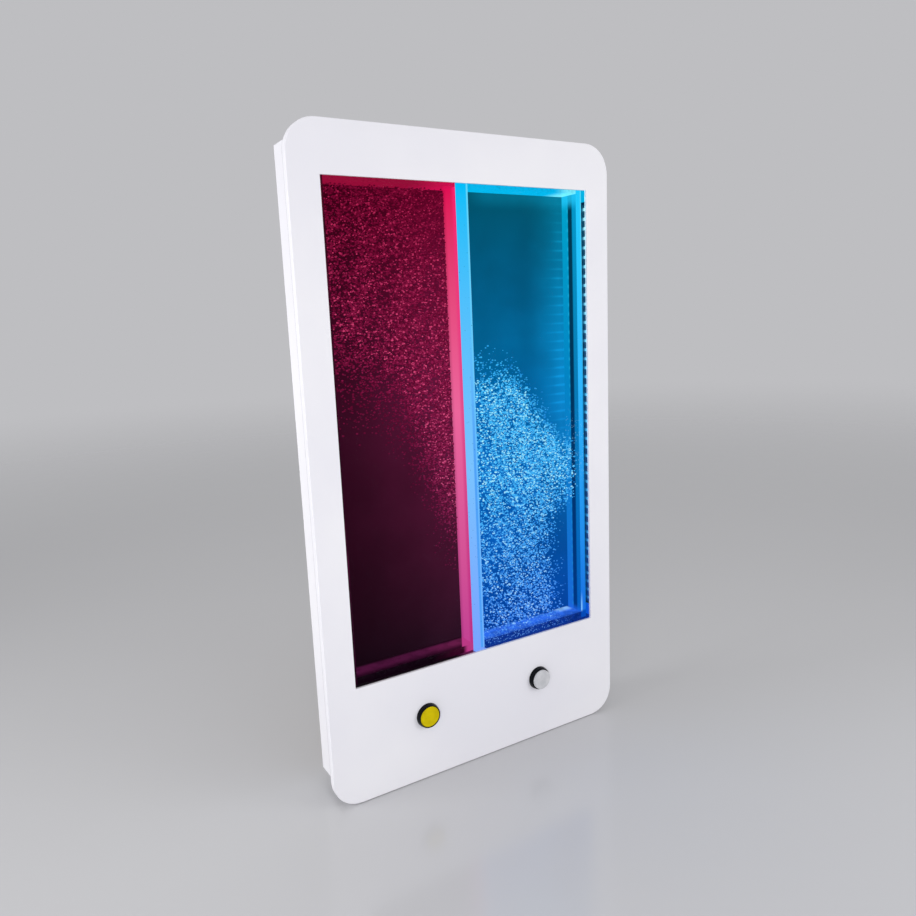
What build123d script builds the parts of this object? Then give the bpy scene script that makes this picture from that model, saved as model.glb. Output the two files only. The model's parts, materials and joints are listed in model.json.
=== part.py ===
"""Wall panel with two lit bubble chambers behind a window, and two push buttons under it.

Millimetres. X runs to the viewer's right, Y runs into the wall, Z runs up.
The origin is on the wall, in the middle of the row of wall screws.
"""

import math
import os

from build123d import *

os.makedirs("parts", exist_ok=True)

# Fascia: the white front board
fascia_width = 600.0
fascia_height = 1085.0
fascia_thickness = 12.0
fascia_corner_radius = 49.0
fascia_edge_round = 1.2
side_margin = 50.0
top_margin = 79.0
window_lip = 4.0
rebate_clearance = 1.0

# Box behind the fascia
board_thickness = 12.0
back_panel_thickness = 12.0
rail_drop = 150.0
dowel_radius = 3.0
dowel_sink = 7.0
dowel_grip = 17.0
dowel_clearance = 0.05
dowel_edge_distance = 22.0

# Tank: clear acrylic sheet
acrylic_thickness = 12.0
divider_thickness = 24.0
bond_gap = 0.1
chamber_depth = 40.0
side_reveal = 10.0
top_reveal = 3.7
bottom_reveal = 10.5
backing_thickness = 3.0
fill_hole_radius = 12.0
air_hole_radius = 0.8
air_hole_pitch = 18.0

# What carries the tank
shelf_thickness = 12.0
pad_thickness = 3.0
pad_length = 30.0
pad_side_inset = 5.0
batten_width = 27.0
batten_depth = 9.0
foam_thickness = 1.5

# Light strips
led_pitch = 50.0 / 3.0
led_end_margin = 15.0
led_size = 5.0
led_height = 1.6
led_setback = 14.0
strip_room = 15.0
led_gap = 3.0
tape_width = 10.0
tape_thickness = 0.6
tape_end_margin = 5.0
channel_width = 14.0
channel_wall = 1.2
channel_gap = 1.5

# Air supply
manifold_end_margin = 24.0
manifold_width = 24.0
manifold_height = 10.0
manifold_groove_width = 10.0
manifold_groove_depth = 4.0
manifold_groove_inset = 6.0
manifold_clearance = 1.5
barb_radius = 2.5
barb_bore_radius = 1.2
barb_length = 12.0
hose_outer_radius = 4.0
hose_fit = 0.05
hose_end_gap = 0.5
hose_run = 53.5
valve_radius = 7.0
valve_length = 22.0
valve_ring_radius = 8.0
valve_ring_length = 3.0
pump_width = 90.0
pump_depth = 55.0
pump_height = 70.0
pump_corner_radius = 8.0
pump_setback = 15.0
pump_side_gap = 17.0
pump_head_radius = 18.0
pump_head_height = 4.0
pump_foot_radius = 7.0
pump_foot_height = 8.0
pump_foot_inset = 11.0

# Filling
plug_clearance = 0.1
plug_head_radius = 16.0
plug_head_height = 10.0
plug_slot_width = 3.0
plug_slot_depth = 5.0
plug_vent_radius = 1.5
access_hole_radius = 19.0
cap_flange = 3.0
cap_flange_thickness = 2.0
cap_clearance = 0.1
cap_skirt_wall = 2.0
cap_skirt_length = 9.0
cap_vent_radius = 2.0
cap_vent_circle_radius = 9.0
cap_vent_count = 5

# Controller and its inlet
case_width = 100.0
case_height = 100.0
case_depth = 26.0
case_wall = 2.0
case_shelf_gap = 27.5
post_radius = 3.0
post_height = 5.0
post_inset = 9.0
circuit_thickness = 1.6
circuit_clearance = 1.0
chip_side = 12.0
chip_height = 2.0
terminal_width = 60.0
terminal_depth = 9.0
terminal_height = 10.0
terminal_inset = 8.0
capacitor_radius = 5.0
capacitor_height = 12.0
inlet_setback = 40.0
inlet_radius = 5.9
inlet_hole_clearance = 0.1
inlet_flange_radius = 8.0
inlet_flange_thickness = 2.0
inlet_bore_radius = 3.15
inlet_bore_depth = 9.5
inlet_pin_radius = 1.05
inlet_length_above = 8.0
inlet_nut_radius = 8.5
inlet_nut_thickness = 3.0
inlet_nut_fit = 0.05

# Hanging rails
rail_end_gap = 47.0
rail_sheet = 3.0
rail_play = 1.0
rail_below = 25.0
rail_jog_height = 12.0
rail_lip_height = 18.0
rail_leg_length = 14.0
wall_screw_radius = 3.25
wall_screw_from_end = 25.0
wall_screw_count = 4
rail_screw_drop = 12.0
rail_screw_from_end = 55.0

# Screws and brackets
screw_radius = 1.75
screw_hole_clearance = 0.1
screw_head_radius = 3.4
screw_head_height = 2.0
screw_slot_width = 0.8
screw_slot_depth = 1.0
short_screw_length = 12.0
long_screw_length = 19.0
back_screw_count = 5
back_screw_end_distance = 60.0
bracket_leg = 20.0
bracket_sheet = 2.0
bracket_width = 20.0
bracket_pump_gap = 50.0
bracket_side_gap = 67.0
vent_length = 60.0
vent_width = 5.0
vent_pitch = 14.0
vent_count = 5
vent_spread = 240.0
vent_from_end = 45.0

# Push buttons; depths count from the front of the fascia, and are negative in front of it
button_pump_gap = 40.0
button_height = 117.0
bezel_flange = 2.05
bezel_shoulder_inset = 0.85
bezel_shoulder_rise = 5.5
bezel_rim_inset = 1.85
bezel_rise = 8.5
barrel_radius = 19.7
barrel_hole_clearance = 0.2
barrel_wall = 1.1
barrel_depth = 22.0
cup_floor_thickness = 2.5
lens_clearance = 0.3
lens_thickness = 4.0
lens_chamfer = 1.2
lens_rise = 13.0
plunger_ring_inset = 0.3
plunger_wall = 2.0
plunger_height = 11.0
plunger_floor = 2.0
button_travel = 4.8
latch_travel = 4.0
rod_radius = 1.5
rod_offset = 12.0
rod_clearance = 0.4
rod_tip_share = 0.9
lamp_post_radius = 4.0
lamp_post_height = 9.0
lamp_radius = 2.5
lamp_height = 6.0
lamp_clearance = 0.6
lamp_dome_share = 0.9
spring_radius = 7.2
spring_wire_radius = 0.35
spring_turns = 3
spring_end_gap = 0.05
spring_room = 8.0
button_nut_wall = 3.3
button_nut_thickness = 7.0
button_nut_fit = 0.05
switch_length = 28.0
switch_width = 10.0
switch_depth = 16.0
switch_corner_round = 1.0
switch_face_depth = 25.0
switch_hole_radius = 1.5
switch_hole_spread = 10.0
lever_arm = 20.0
lever_overhang = 3.0
lever_thickness = 0.5
lever_width = 5.0
lever_gap = 0.4
lever_hub_radius = 1.2
lever_hub_clearance = 0.3
rod_end_gap = 0.45
holder_sheet = 2.0
holder_clearance = 0.3

# Working values
cut = 1.0
sides = {"left": -1, "right": 1}

rail_recess = 3 * (rail_sheet + rail_play)
overall_depth = (window_lip + chamber_depth + 2 * acrylic_thickness + backing_thickness + foam_thickness
                 + batten_depth + back_panel_thickness + rail_recess)
front_y = -overall_depth
fascia_back_y = front_y + fascia_thickness
top_z = rail_drop
bottom_z = top_z - fascia_height

window_x = fascia_width / 2 - side_margin
chamber_x = window_x - side_reveal
tank_x = chamber_x + acrylic_thickness
inner_x = tank_x + strip_room
box_x = inner_x + board_thickness
box_inset = fascia_width / 2 - box_x
box_low = bottom_z + box_inset
box_high = top_z - box_inset
inner_low = box_low + board_thickness
inner_high = box_high - board_thickness

pump_low = inner_low + pump_foot_height
pump_high = pump_low + pump_height
nozzle_base = pump_high + pump_head_height
nozzle_end = nozzle_base + barb_length
barb_end = nozzle_end + hose_run
manifold_low = barb_end + barb_length
tank_low = manifold_low + manifold_height
chamber_low = tank_low + acrylic_thickness
window_low = chamber_low - bottom_reveal
window_high = top_z - top_margin
chamber_high = window_high - top_reveal
tank_high = chamber_high + acrylic_thickness

back_panel_y = -rail_recess
back_panel_front_y = back_panel_y - back_panel_thickness

pane_front_y = front_y + window_lip
chamber_front_y = pane_front_y + acrylic_thickness
chamber_back_y = chamber_front_y + chamber_depth
chamber_mid_y = (chamber_front_y + chamber_back_y) / 2
tank_back_y = chamber_back_y + acrylic_thickness
backing_back_y = tank_back_y + backing_thickness
batten_front_y = backing_back_y + foam_thickness

chamber_width = chamber_x - divider_thickness / 2
chamber_mid_x = (chamber_x + divider_thickness / 2) / 2

shelf_high = tank_low - pad_thickness
shelf_low = shelf_high - shelf_thickness

manifold_length = chamber_width - 2 * manifold_end_margin
air_hole_count = int((manifold_length - 2 * manifold_groove_inset) / air_hole_pitch)
inlet_x = inner_x - pump_side_gap - pump_width / 2
pump_front_y = front_y + pump_setback
pump_mid_y = pump_front_y + pump_depth / 2
pump_inner_x = inlet_x - pump_width / 2

button_x_reach = pump_inner_x - button_pump_gap
button_z = bottom_z + button_height
cup_floor_depth = lens_thickness - lens_rise + plunger_height + plunger_floor + spring_room
bezel_radius = barrel_radius + bezel_flange
cup_radius = barrel_radius - barrel_wall
lens_radius = cup_radius - lens_clearance
plunger_radius = lens_radius - plunger_ring_inset
button_nut_flat_radius = barrel_radius + button_nut_wall
lever_pivot_x = rod_offset - lever_arm
lever_pivot_depth = switch_face_depth - lever_gap - lever_thickness / 2
rod_end_depth = lever_pivot_depth - lever_thickness / 2 - rod_end_gap

screw_hole_radius = screw_radius + screw_hole_clearance
rail_lip_base = rail_jog_height + rail_sheet
rail_lip_top = rail_lip_base + rail_lip_height
rail_length = 2 * (inner_x - rail_end_gap)
wall_screw_spacing = (rail_length - 2 * wall_screw_from_end) / (wall_screw_count - 1)
rail_screw_spacing = (rail_length - 2 * rail_screw_from_end) / (wall_screw_count - 1)
back_screw_x = inner_x - batten_width / 2


def mirrored(side, near, far):
    """Limits along X of a piece that starts near the middle, on one side or the other."""
    return sorted((side * near, side * far))


def spaced(count, pitch):
    """Places along a line, centred on zero."""
    return [(index - (count - 1) / 2) * pitch for index in range(count)]


def spread_between(low, high, count):
    """Places from one limit to another, both included."""
    return [low + (high - low) * index / (count - 1) for index in range(count)]


def wall_plane(y):
    """A plane parallel to the wall: its own axes are X and Z, and it extrudes to the front."""
    return Plane.XZ.offset(-y)


def save(piece, label):
    piece.part.label = label
    export_step(piece.part, f"parts/{label}.step")
    return piece


def slab(label, x_span, y_span, z_span):
    """A rectangular piece between three pairs of limits."""
    spans = (x_span, y_span, z_span)
    with BuildPart() as piece:
        with Locations(tuple((low + high) / 2 for low, high in spans)):
            Box(*(high - low for low, high in spans))
    return save(piece, label)


back_screw_zs = spread_between(inner_low + back_screw_end_distance, inner_high - back_screw_end_distance,
                               back_screw_count)
rail_screw_places = [(x, -rail_screw_drop) for x in spaced(wall_screw_count, rail_screw_spacing)]
back_screw_places = [(side * back_screw_x, z) for side in sides.values() for z in back_screw_zs]
low_bracket_xs = [reach * (pump_inner_x - bracket_pump_gap) for reach in (-1, 0, 1)]
high_bracket_xs = [reach * (inner_x - bracket_side_gap) for reach in (-1, 0, 1)]
bracket_screw_reach = bracket_sheet + (bracket_leg - bracket_sheet) / 2
bracket_places = [(x, inner_low, 1) for x in low_bracket_xs] + [(x, inner_high, -1) for x in high_bracket_xs]
dowel_ys = (fascia_back_y + dowel_edge_distance, -dowel_edge_distance)
dowel_places = [(side, y, z) for side in sides.values() for y in dowel_ys
                for z in (box_low + board_thickness / 2, box_high - board_thickness / 2)]


# Fascia: rounded board with a window, a rebate behind it for the tank, and two button holes
with BuildPart() as fascia:
    with BuildSketch(wall_plane(fascia_back_y)):
        with Locations((0, (top_z + bottom_z) / 2)):
            RectangleRounded(fascia_width, fascia_height, fascia_corner_radius)
        with Locations((0, (window_low + window_high) / 2)):
            Rectangle(2 * window_x, window_high - window_low, mode=Mode.SUBTRACT)
        with Locations(*[(side * button_x_reach, button_z) for side in sides.values()]):
            Circle(barrel_radius + barrel_hole_clearance, mode=Mode.SUBTRACT)
    extrude(amount=fascia_thickness)
    with BuildSketch(wall_plane(fascia_back_y)):
        with Locations((0, (tank_low + tank_high) / 2)):
            Rectangle(2 * inner_x, tank_high - tank_low + 2 * rebate_clearance)
    extrude(amount=fascia_thickness - window_lip, mode=Mode.SUBTRACT)
    with BuildSketch(wall_plane(fascia_back_y)):
        with Locations(*[(x, z + up * bracket_screw_reach) for x, z, up in bracket_places]):
            Circle(screw_hole_radius)
    extrude(amount=short_screw_length - bracket_sheet, mode=Mode.SUBTRACT)
    fillet(fascia.faces().sort_by(Axis.Y)[0].outer_wire().edges(), fascia_edge_round)
save(fascia, "fascia")

# Side boards: full height, with blind holes for the corner dowels
for name, side in sides.items():
    with BuildPart() as side_board:
        with BuildSketch(Plane.YZ.offset(min(mirrored(side, inner_x, box_x)))):
            with Locations((fascia_back_y / 2, (box_low + box_high) / 2)):
                Rectangle(-fascia_back_y, box_high - box_low)
        extrude(amount=board_thickness)
        with BuildSketch(Plane.YZ.offset(side * inner_x)):
            with Locations(*[(y, z) for dowel_side, y, z in dowel_places if dowel_side == side]):
                Circle(dowel_radius + dowel_clearance)
        extrude(amount=side * (dowel_sink + dowel_clearance), mode=Mode.SUBTRACT)
    save(side_board, f"side_board_{name}")

# Top board: two round holes give access to the fill plugs
with BuildPart() as top_board:
    with BuildSketch(Plane.XY.offset(inner_high)):
        with Locations((0, fascia_back_y / 2)):
            Rectangle(2 * inner_x, -fascia_back_y)
        with Locations(*[(side * chamber_mid_x, chamber_mid_y) for side in sides.values()]):
            Circle(access_hole_radius, mode=Mode.SUBTRACT)
    extrude(amount=board_thickness)
    for side in sides.values():
        with BuildSketch(Plane.YZ.offset(side * inner_x)):
            with Locations(*[(y, box_high - board_thickness / 2) for y in dowel_ys]):
                Circle(dowel_radius + dowel_clearance)
        extrude(amount=-side * (dowel_grip + dowel_clearance), mode=Mode.SUBTRACT)
    with BuildSketch(Plane.XY.offset(inner_high)):
        with Locations(*[(x, fascia_back_y + bracket_screw_reach) for x in high_bracket_xs]):
            Circle(screw_hole_radius)
    extrude(amount=short_screw_length - bracket_sheet, mode=Mode.SUBTRACT)
save(top_board, "top_board")

# Bottom board: a hole for the power inlet
with BuildPart() as bottom_board:
    with BuildSketch(Plane.XY.offset(box_low)):
        with Locations((0, fascia_back_y / 2)):
            Rectangle(2 * inner_x, -fascia_back_y)
        with Locations((0, -inlet_setback)):
            Circle(inlet_radius + inlet_hole_clearance, mode=Mode.SUBTRACT)
    extrude(amount=board_thickness)
    for side in sides.values():
        with BuildSketch(Plane.YZ.offset(side * inner_x)):
            with Locations(*[(y, box_low + board_thickness / 2) for y in dowel_ys]):
                Circle(dowel_radius + dowel_clearance)
        extrude(amount=-side * (dowel_grip + dowel_clearance), mode=Mode.SUBTRACT)
    with BuildSketch(Plane.XY.offset(inner_low)):
        with Locations(*[(x, fascia_back_y + bracket_screw_reach) for x in low_bracket_xs]):
            Circle(screw_hole_radius)
    extrude(amount=bracket_sheet - short_screw_length, mode=Mode.SUBTRACT)
save(bottom_board, "bottom_board")

# Back panel: set in from the wall by the room that the rails need, with slots for air
with BuildPart() as back_panel:
    with BuildSketch(wall_plane(back_panel_y)):
        with Locations((0, (inner_low + inner_high) / 2)):
            Rectangle(2 * inner_x, inner_high - inner_low)
        with Locations(*[(side * vent_spread / 2, z + shift)
                         for side in sides.values()
                         for z in (inner_low + vent_from_end, inner_high - vent_from_end)
                         for shift in spaced(vent_count, vent_pitch)]):
            SlotOverall(vent_length, vent_width, mode=Mode.SUBTRACT)
        with Locations(*rail_screw_places, *back_screw_places):
            Circle(screw_hole_radius, mode=Mode.SUBTRACT)
    extrude(amount=back_panel_thickness)
save(back_panel, "back_panel")

# Dowels in the four corners of the box
with BuildPart() as corner_dowels:
    for side, y, z in dowel_places:
        with BuildSketch(Plane.YZ.offset(side * (inner_x + dowel_sink))):
            with Locations((y, z)):
                Circle(dowel_radius)
        extrude(amount=-side * (dowel_sink + dowel_grip))
save(corner_dowels, "corner_dowels")

# Angle brackets that hold the fascia to the top and bottom boards
with BuildPart() as fascia_brackets:
    for x, z, up in bracket_places:
        with BuildSketch(Plane.YZ.offset(x - bracket_width / 2)):
            with BuildLine():
                Polyline((fascia_back_y, z), (fascia_back_y + bracket_leg, z),
                         (fascia_back_y + bracket_leg, z + up * bracket_sheet),
                         (fascia_back_y + bracket_sheet, z + up * bracket_sheet),
                         (fascia_back_y + bracket_sheet, z + up * bracket_leg),
                         (fascia_back_y, z + up * bracket_leg), close=True)
            make_face()
        extrude(amount=bracket_width)
        with BuildSketch(wall_plane(fascia_back_y + bracket_sheet + cut)):
            with Locations((x, z + up * bracket_screw_reach)):
                Circle(screw_hole_radius)
        extrude(amount=bracket_sheet + cut, mode=Mode.SUBTRACT)
        with BuildSketch(Plane.XY.offset(z)):
            with Locations((x, fascia_back_y + bracket_screw_reach)):
                Circle(screw_hole_radius)
        extrude(amount=up * (bracket_sheet + cut), mode=Mode.SUBTRACT)
save(fascia_brackets, "fascia_brackets")


def make_screws(label, planes, length):
    """Slotted pan-head screws; each plane lies under a head and faces the way the head points."""
    with BuildPart() as screws:
        for plane in planes:
            with BuildSketch(plane):
                Circle(screw_head_radius)
            extrude(amount=screw_head_height)
            with BuildSketch(plane):
                Circle(screw_radius)
            extrude(amount=-length)
            with BuildSketch(plane.offset(screw_head_height - screw_slot_depth)):
                Rectangle(2 * screw_head_radius + cut, screw_slot_width)
            extrude(amount=screw_slot_depth + cut, mode=Mode.SUBTRACT)
    return save(screws, label)


bracket_screw_planes = []
for x, z, up in bracket_places:
    bracket_screw_planes.append(Plane(origin=(x, fascia_back_y + bracket_sheet, z + up * bracket_screw_reach),
                                      x_dir=(1, 0, 0), z_dir=(0, 1, 0)))
    bracket_screw_planes.append(Plane(origin=(x, fascia_back_y + bracket_screw_reach, z + up * bracket_sheet),
                                      x_dir=(1, 0, 0), z_dir=(0, 0, up)))
rail_screw_planes = [Plane(origin=(x, back_panel_y + rail_sheet, z), x_dir=(1, 0, 0), z_dir=(0, 1, 0))
                     for x, z in rail_screw_places]
back_screw_planes = [Plane(origin=(x, back_panel_y, z), x_dir=(1, 0, 0), z_dir=(0, 1, 0))
                     for x, z in back_screw_places]
make_screws("short_screws", bracket_screw_planes + rail_screw_planes, short_screw_length)
make_screws("long_screws", back_screw_planes, long_screw_length)

# Tank: front and back panes, side walls, divider, and the top and bottom walls of each chamber
slab("front_pane", (-tank_x, tank_x), (pane_front_y, chamber_front_y), (tank_low, tank_high))
slab("back_pane", (-tank_x, tank_x), (chamber_back_y, tank_back_y), (tank_low, tank_high))
chamber_span = (chamber_front_y + bond_gap, chamber_back_y - bond_gap)
for name, side in sides.items():
    slab(f"tank_wall_{name}", mirrored(side, chamber_x, tank_x), chamber_span, (tank_low, tank_high))
slab("tank_divider", (-divider_thickness / 2, divider_thickness / 2), chamber_span, (tank_low, tank_high))
slab("backing_sheet", (-tank_x, tank_x), (tank_back_y + bond_gap, backing_back_y), (tank_low, tank_high))

for name, side in sides.items():
    with BuildPart() as tank_top:
        with BuildSketch(Plane.XY.offset(chamber_high)):
            with Locations((side * chamber_mid_x, chamber_mid_y)):
                Rectangle(chamber_width - 2 * bond_gap, chamber_depth - 2 * bond_gap)
                Circle(fill_hole_radius, mode=Mode.SUBTRACT)
        extrude(amount=acrylic_thickness)
    save(tank_top, f"tank_top_{name}")

    air_hole_xs = [side * chamber_mid_x + x for x in spaced(air_hole_count, air_hole_pitch)]
    with BuildPart() as tank_bottom:
        with BuildSketch(Plane.XY.offset(tank_low)):
            with Locations((side * chamber_mid_x, chamber_mid_y)):
                Rectangle(chamber_width - 2 * bond_gap, chamber_depth - 2 * bond_gap)
            with Locations(*[(x, chamber_mid_y) for x in air_hole_xs]):
                Circle(air_hole_radius, mode=Mode.SUBTRACT)
        extrude(amount=acrylic_thickness)
    save(tank_bottom, f"tank_bottom_{name}")

# Shelf under the tank, open where the air manifolds pass
with BuildPart() as tank_shelf:
    with BuildSketch(Plane.XY.offset(shelf_low)):
        with Locations((0, (fascia_back_y + batten_front_y) / 2)):
            Rectangle(2 * inner_x, batten_front_y - fascia_back_y)
        with Locations(*[(side * chamber_mid_x, chamber_mid_y) for side in sides.values()]):
            Rectangle(manifold_length + 2 * manifold_clearance, manifold_width + 2 * manifold_clearance,
                      mode=Mode.SUBTRACT)
    extrude(amount=shelf_thickness)
save(tank_shelf, "tank_shelf")

pad_start = chamber_mid_x + manifold_length / 2 + pad_side_inset
pad_x_spans = [mirrored(side, pad_start, tank_x) for side in sides.values()]
pad_x_spans.append((-pad_length / 2, pad_length / 2))
with BuildPart() as tank_pads:
    with BuildSketch(Plane.XY.offset(shelf_high)):
        for low, high in pad_x_spans:
            with Locations(((low + high) / 2, chamber_mid_y)):
                Rectangle(high - low, chamber_depth)
    extrude(amount=pad_thickness)
save(tank_pads, "tank_pads")

# Battens behind the tank's edges, with foam between; the back panel is screwed to them
with BuildPart() as tank_battens:
    with BuildSketch(wall_plane(back_panel_front_y)):
        with Locations(*[(side * back_screw_x, (inner_low + inner_high) / 2) for side in sides.values()]):
            Rectangle(batten_width, inner_high - inner_low)
        with Locations(*back_screw_places):
            Circle(screw_hole_radius, mode=Mode.SUBTRACT)
    extrude(amount=back_panel_front_y - batten_front_y)
save(tank_battens, "tank_battens")

foam_width = tank_x - (inner_x - batten_width)
with BuildPart() as batten_foam:
    with BuildSketch(wall_plane(batten_front_y)):
        with Locations(*[(side * (tank_x - foam_width / 2), (tank_low + tank_high) / 2)
                         for side in sides.values()]):
            Rectangle(foam_width, tank_high - tank_low)
    extrude(amount=foam_thickness)
save(batten_foam, "batten_foam")

# Light strips beside the tank, each in a channel that stands on the side board
led_face_x = tank_x + led_gap
tape_face_x = led_face_x + led_height
web_face_x = tape_face_x + tape_thickness
led_y = front_y + led_setback
led_mid_z = (chamber_low + chamber_high) / 2
led_count = int((chamber_high - chamber_low - 2 * led_end_margin) / led_pitch)
tape_length = led_count * led_pitch
for name, side in sides.items():
    with BuildPart() as led_strip:
        with BuildSketch(Plane.YZ.offset(side * tape_face_x)):
            with Locations((led_y, led_mid_z)):
                Rectangle(tape_width, tape_length)
        extrude(amount=side * tape_thickness)
        with BuildSketch(Plane.YZ.offset(side * tape_face_x)):
            with Locations((led_y, led_mid_z)):
                with GridLocations(led_size, led_pitch, 1, led_count):
                    Rectangle(led_size, led_size)
        extrude(amount=-side * led_height)
    save(led_strip, f"led_strip_{name}")

channel_length = tape_length + 2 * tape_end_margin
flange_near_x = tank_x + channel_gap
flange_mid_x = (flange_near_x + inner_x) / 2
flange_reach = (channel_width - channel_wall) / 2
with BuildPart() as led_channels:
    with BuildSketch(Plane.XY.offset(led_mid_z - channel_length / 2)):
        for side in sides.values():
            with Locations(*[(side * flange_mid_x, led_y + edge * flange_reach) for edge in (-1, 1)]):
                Rectangle(inner_x - flange_near_x, channel_wall)
            with Locations((side * (web_face_x + channel_wall / 2), led_y)):
                Rectangle(channel_wall, channel_width - channel_wall)
    extrude(amount=channel_length)
save(led_channels, "led_channels")

# Air: manifold under each chamber's floor, hose, check valve, hose, pump
for name, side in sides.items():
    with BuildPart() as air_manifold:
        with BuildSketch(Plane.XY.offset(manifold_low)):
            with Locations((side * chamber_mid_x, chamber_mid_y)):
                Rectangle(manifold_length, manifold_width)
        extrude(amount=manifold_height)
        with BuildSketch(Plane.XY.offset(tank_low)):
            with Locations((side * chamber_mid_x, chamber_mid_y)):
                Rectangle(manifold_length - 2 * manifold_groove_inset, manifold_groove_width)
        extrude(amount=-manifold_groove_depth, mode=Mode.SUBTRACT)
        with BuildSketch(Plane.XY.offset(manifold_low)):
            with Locations((side * inlet_x, chamber_mid_y)):
                Circle(barb_radius)
        extrude(amount=-barb_length)
        with BuildSketch(Plane.XY.offset(manifold_low - barb_length)):
            with Locations((side * inlet_x, chamber_mid_y)):
                Circle(barb_bore_radius)
        extrude(amount=barb_length + manifold_height - manifold_groove_depth, mode=Mode.SUBTRACT)
    save(air_manifold, f"air_manifold_{name}")

valve_mid = (barb_end + nozzle_end) / 2
valve_half = valve_length / 2
hose_spans = [(valve_mid + valve_half + hose_end_gap, manifold_low - hose_end_gap),
              (nozzle_base + hose_end_gap, valve_mid - valve_half - hose_end_gap)]
valve_barb = min(barb_length, (barb_end - nozzle_end - valve_length) / 2 - hose_end_gap)
inlet_places = [(side * inlet_x, chamber_mid_y) for side in sides.values()]

with BuildPart() as check_valves:
    with BuildSketch(Plane.XY.offset(valve_mid - valve_half)):
        with Locations(*inlet_places):
            Circle(valve_radius)
    extrude(amount=valve_length)
    with BuildSketch(Plane.XY.offset(valve_mid - valve_ring_length / 2)):
        with Locations(*inlet_places):
            Circle(valve_ring_radius)
    extrude(amount=valve_ring_length)
    with BuildSketch(Plane.XY.offset(valve_mid - valve_half - valve_barb)):
        with Locations(*inlet_places):
            Circle(barb_radius)
    extrude(amount=valve_length + 2 * valve_barb)
    with BuildSketch(Plane.XY.offset(valve_mid - valve_half - valve_barb)):
        with Locations(*inlet_places):
            Circle(barb_bore_radius)
    extrude(amount=valve_barb + valve_half / 2, mode=Mode.SUBTRACT)
    with BuildSketch(Plane.XY.offset(valve_mid + valve_half / 2)):
        with Locations(*inlet_places):
            Circle(barb_bore_radius)
    extrude(amount=valve_half / 2 + valve_barb, mode=Mode.SUBTRACT)
save(check_valves, "check_valves")

with BuildPart() as air_hoses:
    for low, high in hose_spans:
        with BuildSketch(Plane.XY.offset(low)):
            with Locations(*inlet_places):
                Circle(hose_outer_radius)
                Circle(barb_radius + hose_fit, mode=Mode.SUBTRACT)
        extrude(amount=high - low)
save(air_hoses, "air_hoses")

for name, side in sides.items():
    with BuildPart() as air_pump:
        with BuildSketch(Plane.XY.offset(pump_low)):
            with Locations((side * inlet_x, pump_mid_y)):
                RectangleRounded(pump_width, pump_depth, pump_corner_radius)
        extrude(amount=pump_height)
        with BuildSketch(Plane.XY.offset(pump_high)):
            with Locations((side * inlet_x, chamber_mid_y)):
                Circle(min(pump_head_radius, chamber_mid_y - pump_front_y))
        extrude(amount=pump_head_height)
        with BuildSketch(Plane.XY.offset(nozzle_base)):
            with Locations((side * inlet_x, chamber_mid_y)):
                Circle(barb_radius)
        extrude(amount=barb_length)
        with BuildSketch(Plane.XY.offset(nozzle_end)):
            with Locations((side * inlet_x, chamber_mid_y)):
                Circle(barb_bore_radius)
        extrude(amount=-barb_length, mode=Mode.SUBTRACT)
    save(air_pump, f"air_pump_{name}")

with BuildPart() as pump_feet:
    with BuildSketch(Plane.XY.offset(inner_low)):
        with Locations(*[(side * inlet_x, pump_mid_y) for side in sides.values()]):
            with GridLocations(pump_width - 2 * pump_foot_inset, pump_depth - 2 * pump_foot_inset, 2, 2):
                Circle(pump_foot_radius)
    extrude(amount=pump_foot_height)
save(pump_feet, "pump_feet")

# Fill plugs in the chambers' top walls, and caps in the top board above them
with BuildPart() as fill_plugs:
    for side in sides.values():
        with BuildSketch(Plane.XY.offset(chamber_high)):
            with Locations((side * chamber_mid_x, chamber_mid_y)):
                Circle(fill_hole_radius - plug_clearance)
        extrude(amount=acrylic_thickness)
        with BuildSketch(Plane.XY.offset(tank_high)):
            with Locations((side * chamber_mid_x, chamber_mid_y)):
                Circle(plug_head_radius)
        extrude(amount=plug_head_height)
        with BuildSketch(Plane.XY.offset(tank_high + plug_head_height)):
            with Locations((side * chamber_mid_x, chamber_mid_y)):
                Rectangle(2 * plug_head_radius + cut, plug_slot_width)
        extrude(amount=-plug_slot_depth, mode=Mode.SUBTRACT)
        with BuildSketch(Plane.XY.offset(chamber_high)):
            with Locations((side * chamber_mid_x, chamber_mid_y)):
                Circle(plug_vent_radius)
        extrude(amount=acrylic_thickness + plug_head_height, mode=Mode.SUBTRACT)
save(fill_plugs, "fill_plugs")

cap_radius = access_hole_radius - cap_clearance
with BuildPart() as access_caps:
    for side in sides.values():
        with BuildSketch(Plane.XY.offset(box_high)):
            with Locations((side * chamber_mid_x, chamber_mid_y)):
                Circle(access_hole_radius + cap_flange)
                with PolarLocations(cap_vent_circle_radius, cap_vent_count):
                    Circle(cap_vent_radius, mode=Mode.SUBTRACT)
        extrude(amount=cap_flange_thickness)
        with BuildSketch(Plane.XY.offset(box_high)):
            with Locations((side * chamber_mid_x, chamber_mid_y)):
                Circle(cap_radius)
                Circle(cap_radius - cap_skirt_wall, mode=Mode.SUBTRACT)
        extrude(amount=-cap_skirt_length)
save(access_caps, "access_caps")

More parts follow.
